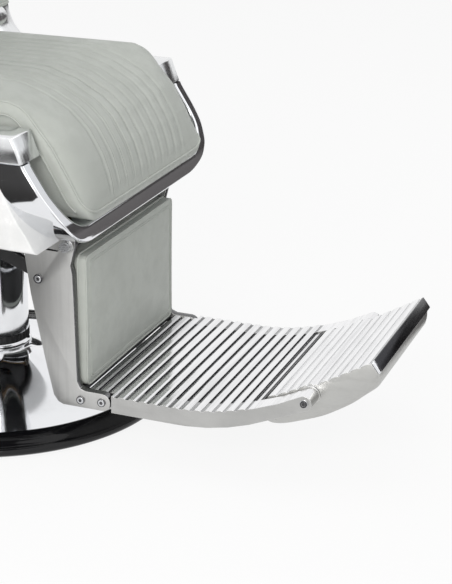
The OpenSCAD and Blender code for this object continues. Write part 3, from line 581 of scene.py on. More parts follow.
def changed(obj, kind, **settings):
    # one modifier, set and applied
    pick(obj)
    made = obj.modifiers.new(kind.lower(), kind)
    for key, value in settings.items():
        setattr(made, key, value)
    bpy.ops.object.modifier_apply(modifier=made.name)
    return obj


def chosen(parts, wanted):
    # leaves edit mode's selection as just the faces or edges that are wanted
    bpy.ops.object.mode_set(mode="EDIT")
    bpy.ops.mesh.select_all(action="DESELECT")
    bpy.ops.object.mode_set(mode="OBJECT")
    for part in parts:
        part.select = wanted(part)
    bpy.ops.object.mode_set(mode="EDIT")


def edged(obj, width, segments, angle):
    return changed(obj, "BEVEL", width=width, segments=segments, limit_method="ANGLE",
                   angle_limit=math.radians(angle))


def cutAway(obj, cutter):
    changed(obj, "BOOLEAN", object=cutter, operation="DIFFERENCE")
    bpy.data.objects.remove(cutter)
    return obj


def traced(name, points, closed=False):
    # an edge run drawn point after point, as with repeated extrudes
    clearSelection()
    bpy.ops.mesh.primitive_plane_add(size=mm)
    obj = bpy.context.object
    obj.name = obj.data.name = name
    bpy.ops.object.mode_set(mode="EDIT")
    bpy.ops.mesh.select_all(action="SELECT")
    bpy.ops.mesh.merge(type="CENTER")
    bpy.ops.transform.translate(value=Vector(points[0]))
    for a, b in zip(points, points[1:]):
        bpy.ops.mesh.extrude_region_move(TRANSFORM_OT_translate={"value": Vector(b) - Vector(a)})
    if closed:
        bpy.ops.mesh.select_all(action="SELECT")
        bpy.ops.mesh.edge_face_add()
    bpy.ops.object.mode_set(mode="OBJECT")
    return obj


def lathe(name, profile, steps, closed=False):
    # profile of (radius, height) in metres turned round the column
    points = [(r, 0, z) for r, z in profile]
    obj = traced(name, points + points[:1] if closed else points)

    def turned():
        bpy.ops.mesh.spin(steps=steps, angle=math.tau, center=(0, 0, 0), axis=(0, 0, 1))

    return onAll(obj, turned, merged, outward)


def slab(name, outline, low, high, edge=0.0, segments=2):
    # outline of (y, z) given thickness along x
    obj = traced(name, [(low, y, z) for y, z in outline], closed=True)
    onAll(obj, drawnOut(high - low, 0, 0), outward)
    return edged(obj, edge, segments, 50) if edge else obj


def smooth(obj, angle):
    pick(obj)
    bpy.ops.object.shade_smooth_by_angle(angle=math.radians(angle))
    return obj


def mirrored(obj, name):
    twin = obj.copy()
    twin.data = obj.data.copy()
    twin.name = twin.data.name = name
    bpy.context.collection.objects.link(twin)
    return onAll(twin, lambda: bpy.ops.transform.resize(value=(-1, 1, 1), center_override=(0, 0, 0)), outward)


def dress(obj, finish, body, slotName, *nodes):
    obj.data.materials.clear()
    obj.data.materials.append(finishes[finish])
    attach(obj, body)
    if nodes:
        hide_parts(*nodes)
    return obj


def bothSides(left, angle, finish, body, slotName, node):
    # the left piece and its mirrored twin, each in place of its own node
    for obj, side in ((left, "left"), (mirrored(left, left.name.replace("Left", "Right")), "right")):
        dress(smooth(obj, angle), finish, body, slotName, f"{node}_{side}")


def bent(name, rows, loop=False):
    # a flat grid bent to rows of points; a loop closes each row on itself and caps both ends
    clearSelection()
    across = len(rows[0])
    bpy.ops.mesh.primitive_grid_add(x_subdivisions=len(rows) - 1, y_subdivisions=across - 1, size=1)
    obj = bpy.context.object
    obj.name = obj.data.name = name
    for v in obj.data.vertices:
        i = round((v.co.x + 0.5) * (len(rows) - 1))
        j = round((v.co.y + 0.5) * (across - 1))
        v.co = Vector(rows[i][j]) * mm
    steps = (merged, lambda: bpy.ops.mesh.fill_holes(sides=0), outward) if loop else (outward,)
    return onAll(obj, *steps)


def curveOf(centre, radius, start, stop, count):
    return [(centre[0] + radius * math.cos(math.radians(start + (stop - start) * i / count)),
             centre[1] + radius * math.sin(math.radians(start + (stop - start) * i / count)))
            for i in range(count + 1)]


def scaled(points):
    return [(a * mm, b * mm) for a, b in points]


baseSet = {
    "rim": [(304, 0), (304, 32)] + curveOf((313, 32), 6, 180, 60, 8)
           + [(333, 31.2), (336, 28), (338, 25.2), (340, 23)]
           + curveOf((341, 12), 9, 80, -80, 12) + [(338, 0)],
    "ring": [(60.5, 94), (69.5, 94)] + curveOf((64.5, 99), 5, 0, 60, 5)
            + [(66.4, 106), (66, 109), (60.5, 109)],
    "sleeve": [(60.8, 124), (64.2, 124), (65, 124.8), (65, 394.6), (64.4, 396), (60.8, 396)],
    "coverRadius": 303, "coverThroat": 66, "coverLow": 12, "coverRise": 66, "coverTop": 94, "coverWall": 2.5,
    "slot": (0, 115, 142), "slotSize": (42, 150, 200),
}


def makeBase(s):
    # turned pieces: rim, cover with its slot for the pedal, ring and sleeve of the column
    obj = lathe("baseRim", scaled(s["rim"]), 160, closed=True)
    dress(smooth(obj, 28), "black_enamel", "base", "black_enamel", "base_rim")

    r, rise, top = s["coverRadius"], s["coverRise"], s["coverTop"]
    dome = [(r - (r - s["coverThroat"]) * math.sin(math.radians(a)), top - rise * math.cos(math.radians(a)))
            for a in range(0, 91, 3)]
    obj = lathe("baseCover", scaled([(r, s["coverLow"])] + dome), 160)
    changed(obj, "SOLIDIFY", thickness=s["coverWall"] * mm, offset=-1)
    clearSelection()
    bpy.ops.mesh.primitive_cube_add(size=1, location=Vector(s["slot"]) * mm, scale=Vector(s["slotSize"]) * mm)
    cutAway(obj, bpy.context.object)
    dress(smooth(obj, 30), "chrome", "base", "chrome", "base_cover")

    obj = lathe("columnRing", scaled(s["ring"]), 96, closed=True)
    dress(smooth(obj, 30), "chrome", "base", "chrome", "column_ring")
    obj = lathe("columnSleeve", scaled(s["sleeve"]), 128, closed=True)
    dress(smooth(obj, 30), "chrome", "lift", "chrome", "column_sleeve")


makeBase(baseSet)
print("stage: base and column made")


# line of the seat's front, shared by rail and side shells, (y, z) from the top down
frontLine = [(-205, 543), (-222, 508), (-240, 475)]

bumperSet = {
    "half": 343, "low": 418, "corner": 125,
    "lip": 454, "innerHalf": 313, "innerCorner": 80,
    "face": [(-253, 576), (-303, 500), (-321, 465), (-327, 441), (-323, 417)],
    "rear": [(-190, 576)] + frontLine + [(-264, 452), (-290, 417)],
    "rearSide": [(-190, 576)] + frontLine + [(-250, 448), (-262, 417)],
    "sideFrom": 232, "sideBlend": 14,
    "top": 576, "roll": 5, "wall": 2.5,
}


def alongHeight(line, z):
    # y of a run of (y, z) points at height z, rounded between the points
    ys = np.array([p[0] for p in line][::-1], float)
    zs = np.array([p[1] for p in line][::-1], float)
    spread = np.linspace(-7, 7, 9)  # how far up and down the rounding reaches
    return float(np.mean(np.interp(np.clip(z + spread, zs[0], zs[-1]), zs, ys)))


def frontRun(half, low, corner, top, count):
    # half of the front outline, from the middle of the bottom round the corner and up
    run = [(0.0, low)] + [((half - corner) * k / 6, low) for k in range(1, 6)]
    run += curveOf((half - corner, low + corner), corner, -90, 0, count)
    run += [(half, low + corner + (top - low - corner) * k / 6) for k in range(1, 7)]
    return run


def makeBumper(s):
    outer = frontRun(s["half"], s["low"], s["corner"], s["top"], 28)
    inner = frontRun(s["innerHalf"], s["lip"], s["innerCorner"], s["top"], 28)
    outer = [(-x, z) for x, z in outer[:0:-1]] + outer
    inner = [(-x, z) for x, z in inner[:0:-1]] + inner
    roll, face = s["roll"], s["face"]

    def rolled(x, z, way, angles):
        # round an edge of the strip
        out = []
        for a in (math.radians(angle) for angle in angles):
            px, pz = x + way.x * roll * (1 - math.cos(a)), z + way.y * roll * (1 - math.cos(a))
            out.append((px, alongHeight(face, pz) + roll * (1 - math.sin(a)), pz))
        return out

    def wallSide(x, z, back, depths):
        front = alongHeight(face, z)
        return [(x, front + roll + (back - front - roll) * depth, z) for depth in depths]

    # across the strip: rear of the outside, its edge, the face, the inner edge, rear of the inside
    rows = []
    for (ox, oz), (ix, iz) in zip(outer, inner):
        across = Vector((ix - ox, iz - oz))
        width = across.length
        way = across / width
        deeper = min(max((abs(ox) - s["sideFrom"]) / s["sideBlend"], 0), 1)
        back = (1 - deeper) * alongHeight(s["rear"], oz) + deeper * alongHeight(s["rearSide"], oz)
        line = wallSide(ox, oz, back, (1.0, 0.75, 0.5, 0.25)) + rolled(ox, oz, way, range(0, 91, 15))
        for k in range(1, 8):
            reach = roll + (width - 2 * roll) * k / 8
            px, pz = ox + way.x * reach, oz + way.y * reach
            line.append((px, alongHeight(face, pz), pz))
        line += rolled(ix, iz, -way, range(90, -1, -15))
        line += wallSide(ix, iz, alongHeight(s["rear"], iz), (0.3, 0.65, 1.0))
        rows.append(line)
    obj = bent("seatBumper", rows)
    # an open sheet can come out either way round, and the wall goes behind its face
    middle = min(obj.data.polygons, key=lambda p: (p.center - Vector((0, -324, 436)) * mm).length)
    if middle.normal.y > 0:
        onAll(obj, bpy.ops.mesh.flip_normals)
    changed(obj, "SOLIDIFY", thickness=s["wall"] * mm, offset=-1)
    dress(smooth(obj, 40), "chrome", "seat", "chrome", "seat_bumper")


makeBumper(bumperSet)


armSet = {
    "inner": 272, "outer": 343,
    "deck": 576, "rise": 252, "thick": 46, "padSeat": 12, "tipFront": -180, "rear": 176,
    "front": -238, "edge": 3.0,
}


def makeArms(s):
    radius, top = s["rise"] / 2, s["deck"] + s["rise"]
    bend = (s["rear"] - radius, s["deck"] + radius)
    tip = (s["thick"] - s["padSeat"]) / 2
    thinner = s["padSeat"] / 2
    outline = [(s["front"] - 14, s["deck"])] + curveOf(bend, radius, -90, 90, 48)
    outline += curveOf((s["tipFront"], top - tip), tip, 90, 270, 14)
    outline += curveOf((bend[0], bend[1] + thinner), radius - s["thick"] + thinner, 90, -90, 40)
    outline += [(s["front"] + 4, s["deck"] + s["thick"])]
    left = slab("armLeft", scaled(outline), s["inner"] * mm, s["outer"] * mm, s["edge"] * mm, 3)
    bothSides(left, 30, "polished_arm", "seat", "arm_alloy", "arm")


makeArms(armSet)
print("stage: bumper and arms made")


shellSet = {
    "inner": 235, "outer": 342.6, "roll": 9, "edge": 2.5, "wall": 4,
    "run": [(-190.5, 575.6)] + frontLine + [(-258, 450), (-275, 420), (-180, 422), (238, 422), (238, 526),
                                            (226, 575.6)],
    "lockHole": (190.53, 495.55), "lockRadius": 6.5,
}


def makeShells(s):
    # an open backed moulding on each side, its lower outside edge rolled under
    obj = slab("seatShellRight", scaled(s["run"]), -s["outer"] * mm, -s["inner"] * mm)
    bpy.ops.object.mode_set(mode="EDIT")
    bpy.ops.mesh.select_mode(type="EDGE")
    bpy.ops.mesh.select_all(action="DESELECT")
    bpy.ops.object.mode_set(mode="OBJECT")
    for e in obj.data.edges:
        a, b = (obj.data.vertices[i].co for i in e.vertices)
        outside = max(a.x, b.x) < -(s["outer"] - 1) * mm
        e.select = outside and max(a.z, b.z) < 424 * mm
    bpy.ops.object.mode_set(mode="EDIT")
    bpy.ops.mesh.bevel(offset=s["roll"] * mm, segments=6)
    bpy.ops.object.mode_set(mode="OBJECT")
    edged(obj, s["edge"] * mm, 3, 55)
    # the large inner face goes
    for p in obj.data.polygons:
        p.select = p.normal.x > 0.95 and p.area > 0.01
    bpy.ops.object.mode_set(mode="EDIT")
    bpy.ops.mesh.select_mode(type="FACE")
    bpy.ops.mesh.delete(type="FACE")
    bpy.ops.mesh.select_mode(type="VERT")
    bpy.ops.object.mode_set(mode="OBJECT")
    changed(obj, "SOLIDIFY", thickness=s["wall"] * mm, offset=-1)
    left = mirrored(obj, "seatShellLeft")
    # the way through for the lock lever
    clearSelection()
    bpy.ops.mesh.primitive_cylinder_add(vertices=40, radius=s["lockRadius"] * mm, depth=40 * mm,
                                        location=Vector((-s["outer"], *s["lockHole"])) * mm,
                                        rotation=(0, math.radians(90), 0))
    cutAway(obj, bpy.context.object)
    dress(smooth(obj, 40), "white_shell", "seat", "white_shell", "seat_shell_right")
    dress(smooth(left, 40), "white_shell", "seat", "white_shell", "seat_shell_left")


makeShells(shellSet)
print("stage: side shells made")


bracketSet = {
    "eye": (-273, 402), "eyeRadius": 13, "toe": (-334, 107), "toeRadius": 17,
    "front": [(-276, 362), (-279, 348), (-281, 298), (-285, 141), (-291, 128), (-302, 124)],
    "rear": [(-256, 90), (-246, 94), (-237, 106), (-224, 161), (-209, 232), (-195, 299), (-183, 386),
             (-250, 386), (-258, 390)],
    "inner": 201, "outer": 217, "edge": 1.6,
}


def makeBrackets(s):
    outline = curveOf(s["eye"], s["eyeRadius"], 0, 180, 24) + s["front"]
    outline += curveOf(s["toe"], s["toeRadius"], 90, 270, 20) + s["rear"]
    left = slab("legBracketLeft", scaled(outline), s["inner"] * mm, s["outer"] * mm, s["edge"] * mm, 2)
    bothSides(left, 30, "bracket", "leg_rest", "cast_aluminium", "leg_bracket")


makeBrackets(bracketSet)
print("stage: brackets made")


screwSet = {
    "radius": 6.4, "height": 3.4, "recess": 3.6, "deep": 2.6, "edge": 0.9,
    "bracketFace": 217, "onBracket": [(-292, 105), (-334, 107), (-211.93, 329.23)],
    "hingeFace": 219, "onHinge": (-719, 173), "hingeHeight": 2.2, "hingeDeep": 1.6,
}


def makeScrew(name, s, height, deep, at, side):
    # a round head with a six sided recess, made upright and then laid along x
    clearSelection()
    bpy.ops.mesh.primitive_cylinder_add(vertices=36, radius=s["radius"] * mm, depth=height * mm,
                                        location=(0, 0, height / 2 * mm))
    obj = bpy.context.object
    obj.name = obj.data.name = name
    bpy.ops.object.transform_apply(location=True, rotation=True, scale=True)
    chosen(obj.data.polygons, lambda p: p.normal.z > 0.9)
    bpy.ops.mesh.bevel(offset=s["edge"] * mm, segments=3)
    bpy.ops.object.mode_set(mode="OBJECT")
    clearSelection()
    bpy.ops.mesh.primitive_cylinder_add(vertices=6, radius=s["recess"] * mm, depth=2 * deep * mm,
                                        location=(0, 0, height * mm))
    cutAway(obj, bpy.context.object)
    # the turn is written into the mesh, because transform.rotate turns the other way with no window
    obj.data.transform(Matrix.Translation(Vector(at) * mm) @ Matrix.Rotation(math.radians(90 * side), 4, "Y"))
    return smooth(obj, 30)


def makeScrews(s):
    for side, word in ((1, "Left"), (-1, "Right")):
        for number, place in enumerate(s["onBracket"], 1):
            made = makeScrew(f"bracketScrew{word}{number}", s, s["height"], s["deep"],
                             (side * s["bracketFace"], *place), side)
            dress(made, "steel", "leg_rest", "steel")
        made = makeScrew(f"hingeScrew{word}", s, s["hingeHeight"], s["hingeDeep"],
                         (side * s["hingeFace"], *s["onHinge"]), side)
        dress(made, "darkSteel", "leg_rest", "steel")


makeScrews(screwSet)

heelSet = {
    "half": 195, "edge": 1.2,
    "section": [(-296.5, 118), (-296.5, 123.6), (-264, 123.6), (-264, 118)],
}


def makeHeelStrip(s):
    # rubber strip that closes the gap between the calf pad and the tread
    strip = slab("heelStrip", scaled(s["section"]), -s["half"] * mm, s["half"] * mm, s["edge"] * mm, 3)
    dress(smooth(strip, 40), "rubber", "leg_rest", "rubber")


makeHeelStrip(heelSet)
print("stage: heel strip made")


flapSet = {
    "rear": -636, "rearLow": 99,
    "hinge": (-719, 173), "barrel": 16, "barrelIn": 151, "barrelOut": 176.5,
    "rise": [(-655, 0), (-690, 3.5), (-716, 8.5)], "elbow": (-722, 190),
    "tip": (-822, 249), "tipLow": (-836, 231),
    "belly": [(-838, 214), (-832, 199), (-812, 181), (-788, 160), (-760, 141), (-732, 125), (-692, 109),
              (-666, 100), (-646, 97)],
    "pitch": 21.0, "groove": 6.5, "deep": 2.1,
    # (from the middle, how far the belly comes up there)
    "edges": [(0, 0), (152, 0), (157, 1.4), (161, 3.6), (164.5, 7), (167.5, 11.5), (169.8, 16.5), (171, 22)],
    "edge": 0.9,
    "band": 5.0, "bandEnds": (-161, 169), "stopEnds": (-171, -161.3),
}


def plateTop(y, s=plateSet):
    # the tread's height at y
    level, bend, radius, angle = s["level"], s["bend"], s["radius"], math.radians(s["angle"])
    end = bend - radius * math.sin(angle)
    if y > bend:
        return level
    if y > end:
        return level + radius - math.sqrt(radius ** 2 - (y - bend) ** 2)
    return level + radius * (1 - math.cos(angle)) + (end - y) * math.tan(angle)


def rounded(run, count):
    # a smooth run through the given points
    out = []
    pts = [run[0]] + list(run) + [run[-1]]
    for a, b, c, d in zip(pts, pts[1:], pts[2:], pts[3:]):
        for k in range(count):
            t = k / count
            out.append(tuple(0.5 * (2 * b[n] + (c[n] - a[n]) * t
                                    + (2 * a[n] - 5 * b[n] + 4 * c[n] - d[n]) * t * t
                                    + (3 * b[n] - a[n] - 3 * c[n] + d[n]) * t ** 3) for n in (0, 1)))
    return out + [run[-1]]


def makeFlap(s):
    # the tread's line, from the rear over the hinge to the tip
    lifts = np.array(s["rise"][::-1], float)
    guide = []
    for y in np.linspace(s["rear"], s["elbow"][0] + 6, 13):
        guide.append((y, plateTop(y) + np.interp(y, lifts[:, 0], lifts[:, 1])))
    guide = np.array(guide + [s["elbow"], s["tip"]], float)
    at = np.concatenate([[0], np.cumsum(np.linalg.norm(np.diff(guide, axis=0), axis=1))])
    # ribs along it, as (place, share of the groove's depth)
    count = int(at[-1] // s["pitch"])
    pitch = at[-1] / count
    fall = pitch - s["groove"]
    rib = [(0, 1), (1.2, 0.25), (3.2, 0), (pitch * 0.5, -0.12), (fall, 0), (fall + 2, 0.3), (fall + 3.4, 1)]
    steps = [(number * pitch + place, depth) for number in range(count) for place, depth in rib]
    steps.append((at[-1], 0.3))
    top = []
    for place, depth in steps:
        y, z = (float(np.interp(place, at, guide[:, k])) for k in (0, 1))
        top.append((y, z - depth * s["deep"]))
    loop = top + rounded([s["tipLow"]] + s["belly"] + [(s["rear"], s["rearLow"])], 4)
    loop.append(loop[0])
    # that outline at stations across, its belly drawn up towards both ends
    rows = []
    for x, rise in [(-x, e) for x, e in s["edges"][:0:-1]] + s["edges"]:
        row = []
        for k, (y, z) in enumerate(loop):
            under = len(top) <= k < len(loop) - 1
            fade = min(1.0, (k - len(top)) / 6) if under else 0
            row.append((x, y + rise * 0.55 * fade * (1 if y < -660 else 0.3), z + rise * 0.8 * fade))
        rows.append(row)
    obj = bent("toeFlap", rows, loop=True)
    for side in (-1, 1):
        middle = side * (s["barrelIn"] + s["barrelOut"]) / 2
        clearSelection()
        bpy.ops.mesh.primitive_cylinder_add(vertices=48, radius=s["barrel"] * mm,
                                            depth=(s["barrelOut"] - s["barrelIn"]) * mm,
                                            location=Vector((middle, *s["hinge"])) * mm,
                                            rotation=(0, math.radians(90), 0))
        obj.select_set(True)
        bpy.context.view_layer.objects.active = obj
        bpy.ops.object.join()
    edged(obj, s["edge"] * mm, 2, 48)
    dress(smooth(obj, 32), "flapTread", "flap", "cast_aluminium", "toe_flap")

    # dark band on the tip, with a bright stop at its right hand end
    tip, low = Vector(s["tip"]), Vector(s["tipLow"])
    way = (tip - low).normalized()
    out = Vector((-way.y, way.x)) * s["band"]
    strip = scaled([low - way, tip, tip + out, low + out - way])
    band = slab("flapBand", strip, s["bandEnds"][0] * mm, s["bandEnds"][1] * mm, 1.4 * mm, 3)
    dress(smooth(band, 40), "bandSteel", "flap", "dark_trim", "flap_edge")
    stop = slab("flapStop", strip, s["stopEnds"][0] * mm, s["stopEnds"][1] * mm, 1.6 * mm, 3)
    dress(smooth(stop, 40), "chrome", "flap", "chrome")


makeFlap(flapSet)
print("stage: toe flap made")


def points(obj):
    flat = np.empty(len(obj.data.vertices) * 3)
    obj.data.vertices.foreach_get("co", flat)
    return flat.reshape(-1, 3)


def normals(obj):
    flat = np.empty(len(obj.data.vertices) * 3)
    obj.data.vertex_normals.foreach_get("vector", flat)
    return flat.reshape(-1, 3)


def setPoints(obj, co):
    obj.data.vertices.foreach_set("co", co.ravel())
    obj.data.update()


clothSet = {
    "use_pressure": True, "vertex_group_mass": "held",
    "tension_stiffness": 12, "compression_stiffness": 12, "bending_stiffness": 1.5,
}


def puff(obj, s, hold, rounds=2, shape=None):
    # remesh, round off, blow up as cloth, and keep every point within the cap
    changed(obj, "REMESH", mode="VOXEL", voxel_size=s["voxel"] * mm)
    changed(obj, "SMOOTH", iterations=rounds, factor=0.5)
    before = points(obj)
    if shape:
        before = shape(before / mm) * mm
        setPoints(obj, before)
    group = obj.vertex_groups.new(name="held")
    group.add([int(i) for i in np.flatnonzero(hold(before / mm))], 1.0, "REPLACE")
    cloth = obj.modifiers.new("cloth", "CLOTH")
    for key, value in clothSet.items():
        setattr(cloth.settings, key, value)
    cloth.settings.uniform_pressure_force = s["pressure"]
    cloth.settings.effector_weights.gravity = 0
    cloth.collision_settings.use_collision = False
    cloth.point_cache.frame_start = 1
    cloth.point_cache.frame_end = s["frames"]
    for number in range(1, s["frames"] + 1):
        bpy.context.scene.frame_set(number)
    swollen = obj.evaluated_get(bpy.context.evaluated_depsgraph_get())
    move = points(swollen) - before
    obj.modifiers.remove(cloth)
    obj.vertex_groups.remove(group)
    bpy.context.scene.frame_set(1)
    far = np.linalg.norm(move, axis=1, keepdims=True)
    far[far == 0] = 1
    limit = s["cap"] * mm
    obj.data.vertices.foreach_set("co", (before + move / far * (limit * np.tanh(far / limit))).ravel())
    return changed(obj, "SUBSURF", levels=1, render_levels=1)


def fromChannel(x, pitch):
    # distance to the nearest seam across a channelled panel
    off = np.abs(x) % pitch
    return np.minimum(off, pitch - off)


def sunk(distance, width):
    # 1 on a seam, easing to 0 at its width
    return np.exp(-(distance / width) ** 2)


def welt(name, target, path, radius, lift=0.35, closed=False):
    # a piping laid on the cushion along a path of (x, y, z)
    data = bpy.data.curves.new(name, "CURVE")
    data.dimensions = "3D"
    data.bevel_depth = radius * mm
    data.bevel_resolution = 3
    data.resolution_u = 1
    run = data.splines.new("POLY")
    run.points.add(len(path) - 1)
    run.use_cyclic_u = closed
    for point, p in zip(run.points, path):
        _, spot, normal, _ = target.closest_point_on_mesh(Vector(p) * mm)
        point.co = (*(spot + normal * radius * lift * mm), 1)
    made = bpy.data.objects.new(name, data)
    bpy.context.collection.objects.link(made)
    pick(made)
    bpy.ops.object.convert(target="MESH")
    made = bpy.context.object
    bpy.ops.object.shade_smooth()
    return made


def even(path, step):
    # points at equal distances along a run
    path = np.array(path, float)
    gaps = np.linalg.norm(np.diff(path, axis=0), axis=1)
    at = np.concatenate([[0], np.cumsum(gaps)])
    count = max(int(at[-1] / step), 2)
    wanted = np.linspace(0, at[-1], count + 1)
    return np.stack([np.interp(wanted, at, path[:, k]) for k in range(path.shape[1])], axis=1)


seatSet = {
    "half": 265, "start": 2,
    "voxel": 6, "pressure": 4, "cap": 8, "frames": 10,
    "corner": 48, "low": 455, "seamLow": 474,
    "rearLow": (188, 578.5), "underside": [(-334, 457), (-300, 449), (-283, 452), (-201, 578.5)],
    # (height, fullness there)
    "crown": [(474, 0), (487, 3), (500, 8), (520, 13), (545, 17), (590, 18), (620, 14), (640, 9),
              (655, 6), (666, 5)],
    "channels": 10, "pitch": 32.5, "channelDepth": 2.6, "channelWidth": 4.0,
    "weltRadius": 2.3, "boxing": 27, "recess": 3,
}


# the top panel's side line: rear bend, front bend, then down the front, (y, z)
seatLine = {
    "rearBend": (164, 638), "rearRadius": 24, "frontBend": (-178, 600), "frontRadius": 65,
    "down": [(-271, 588), (-298, 543), (-318, 508), (-332, 487), (-338, 474)],
}


def seatProfile(inset=0.0, s=seatLine):
    # that line from the rear over the top and down, an inset inside it
    run = curveOf(s["rearBend"], s["rearRadius"] - inset, 0, 90, 8)
    run += curveOf(s["frontBend"], s["frontRadius"] - inset, 90, 142, 14)
    down = [Vector(p) for p in s["down"]]
    for i, p in enumerate(down):
        way = (down[min(i + 1, len(down) - 1)] - down[max(i - 1, 0)]).normalized()
        run.append((p.x - way.y * inset, p.y + way.x * inset))
    return run


def distanceTo(run, at):
    # shortest distance from each point to a run of points
    run = np.array(run, float)
    best = np.full(len(at), 1e9)
    for a, b in zip(run, run[1:]):
        ab = b - a
        t = np.clip(((at - a) @ ab) / max(ab @ ab, 1e-9), 0, 1)
        best = np.minimum(best, np.linalg.norm(at - (a + t[:, None] * ab), axis=1))
    return best


def seatSeam(s):
    # half of the top panel's seam, from the rear along the side and round the front corner to the middle
    line = seatProfile(1.0)
    bend, flat = s["low"] + s["corner"], s["half"] - s["corner"]
    side = [(s["half"] - 1.5, y, z) for y, z in line[4:] if z > bend + 2]
    front = np.array(line[::-1][:6])
    corner = []
    for a in (math.radians(9 * k) for k in range(11)):
        x, z = flat + (s["corner"] - 1.5) * math.cos(a), bend - (bend - s["seamLow"]) * math.sin(a)
        corner.append((x, float(np.interp(z, front[:, 1], front[:, 0])), z))
    middle = [(flat * (1 - k / 4), corner[-1][1], s["seamLow"]) for k in range(1, 5)]
    return side + corner + middle


def makeSeatCushion(s):
    inset = s["start"]
    half = s["half"] - inset
    y, z = s["rearLow"]
    outline = [(y - inset, z)] + seatProfile(inset) + s["underside"]
    obj = slab("seatCushion", scaled(outline), -half * mm, half * mm)
    seam = seatSeam(s)
    profile = seatProfile(0)
    inner = seatProfile(s["boxing"])

    def shape(co):
        # front corners rounded where the sides meet the lower edge
        x, y, z = co.T
        low, corner = s["low"], s["corner"]
        drop = np.clip(low + corner - z, 0, corner)
        reach = s["half"] - corner + np.sqrt(corner ** 2 - drop ** 2)
        share = np.clip((np.abs(x) / s["half"] - 0.6) / 0.4, 0, 1)
        return np.stack([x * (1 - share * (1 - reach / s["half"])), y, z], axis=1)

    def hold(co):
        # the seam, the lower boxing, all that rests on the pan, and the rear stay put
        x, y, z = co.T
        wide = np.abs(x)
        onSeam = distanceTo(seam, np.stack([wide, y, z], axis=1)) < 6
        depth = distanceTo(profile, co[:, 1:])
        lowBoxing = (wide > half - 8) & (depth > s["boxing"] - 3)
        under = ((z < 583) & (y > -200)) | ((y > -290) & (depth > 50)) | (z < 462)
        return onSeam | lowBoxing | under | (y > 178)

    puff(obj, s, hold, shape=shape)
    co = points(obj) / mm
    facing = normals(obj)
    x, y, z = co.T
    # crown of the top panel, fullest over the front shoulder; onTop is 1 there and 0 on sides and underside
    across = np.clip(1 - (np.abs(x) / (s["half"] - 3)) ** 14, 0, 1)
    onTop = np.clip((np.hypot(facing[:, 1], facing[:, 2]) - 0.5) * 2, 0, 1)
    onTop *= np.clip((facing[:, 2] * 0.9 - facing[:, 1] * 0.9 + 0.1) * 1.4, 0, 1)
    onTop *= distanceTo(profile, co[:, 1:]) < 14
    fromRear = np.clip((176 - y) / 60, 0, 1)
    heights = np.array(s["crown"], float)
    lift = np.interp(z, heights[:, 0], heights[:, 1]) * np.sin(fromRear * math.pi / 2)
    lift = np.where(y > -120, np.minimum(lift, heights[-1, 1]), lift)
    way = np.stack([np.zeros(len(x)), facing[:, 1], facing[:, 2]], axis=1)
    co = co + way * (lift * across * onTop)[:, None]
    # sewn channels over the top and down the front
    off = fromChannel(x, s["pitch"])
    inside = np.abs(x) < (s["channels"] / 2 + 0.4) * s["pitch"]
    ends = np.clip((150 - y) / 30, 0, 1) * np.clip((z - s["seamLow"] - 8) / 22, 0, 1)
    co = co + way * (-s["channelDepth"] * sunk(off, s["channelWidth"]) * inside * ends * onTop)[:, None]
    # the lower boxing stands a little inside the upper one
    depth = distanceTo(profile, co[:, 1:])
    back = np.clip((depth - s["boxing"]) / 4, 0, 1) * (np.abs(x) > half - 14) * s["recess"]
    co[:, 0] = co[:, 0] - np.sign(co[:, 0]) * back
    setPoints(obj, co * mm)
    dress(smooth(obj, 60), "seatLeather", "seat", "upholstery", "seat_cushion")

    # pipings: the top panel's edge all round the front, the lower edge of the boxing, and a join in it
    whole = seam + [(-x, y, z) for x, y, z in seam[-2::-1]]
    dress(welt("seatWeltTop", obj, even(whole, 6), s["weltRadius"]), "upholstery", "seat", "upholstery")
    for side, word in ((1, "Left"), (-1, "Right")):
        lower = [(side * s["half"], y, z) for y, z in inner[4:-1]]
        made = welt(f"seatWeltLow{word}", obj, even(lower, 6), s["weltRadius"] * 0.8)
        dress(made, "upholstery", "seat", "upholstery")
        join = [(side * s["half"], -297, 519), (side * s["half"], -279, 503)]
        dress(welt(f"seatJoin{word}", obj, even(join, 4), 0.9, lift=0.1), "upholstery", "seat", "upholstery")


makeSeatCushion(seatSet)
print("stage: seat cushion made")


def ringOf(s, y, inset=0.0):
    # a pad's outline at depth y, an inset in from its sides
    margin = inset + s["corner"]
    wide, low, high = s["half"] - margin, s["low"] + margin, s["high"] - margin
    run = []
    for number, centre in enumerate(((wide, high), (-wide, high), (-wide, low), (wide, low))):
        run += curveOf(centre, s["corner"], 90 * number, 90 * number + 90, 8)
    return [(x, y, z) for x, z in run]


def closedRun(run):
    return run + run[:1]


def pad(name, s):
    # a pad facing -y, its back held flat on its board and its seams held while the panels swell
    half, low, high = s["half"], s["low"], s["high"]
    face = s["front"] + s["crown"]
    obj = traced(name, [tuple(c * mm for c in p) for p in ringOf(s, s["back"])], closed=True)
    onAll(obj, drawnOut(0, (face - s["back"]) * mm, 0), outward)
    seams = [closedRun(ringOf(s, face + d)) for d in (0, s["boxing"])]

    def hold(co):
        near = np.minimum(distanceTo(seams[0], co), distanceTo(seams[1], co)) < s["voxel"] * 0.9
        return near | (co[:, 1] > s["back"] - 3)

    def pulledIn(co):
        # sides drawn in a little between the corners
        x, y, z = co.T
        t = np.clip(np.abs(2 * (z - low) / (high - low) - 1), 0, 1)
        u = np.clip(np.abs(x) / half, 0, 1)
        x = x * (1 - s["draw"] / half * (1 - t ** 2))
        z = z - np.sign(z - (low + high) / 2) * s["draw"] * (1 - u ** 2) * t ** 3
        return np.stack([x, y, z], axis=1)

    return puff(obj, s, hold, shape=pulledIn)


leanSet = {"pivot": (222, 582), "angle": 12}


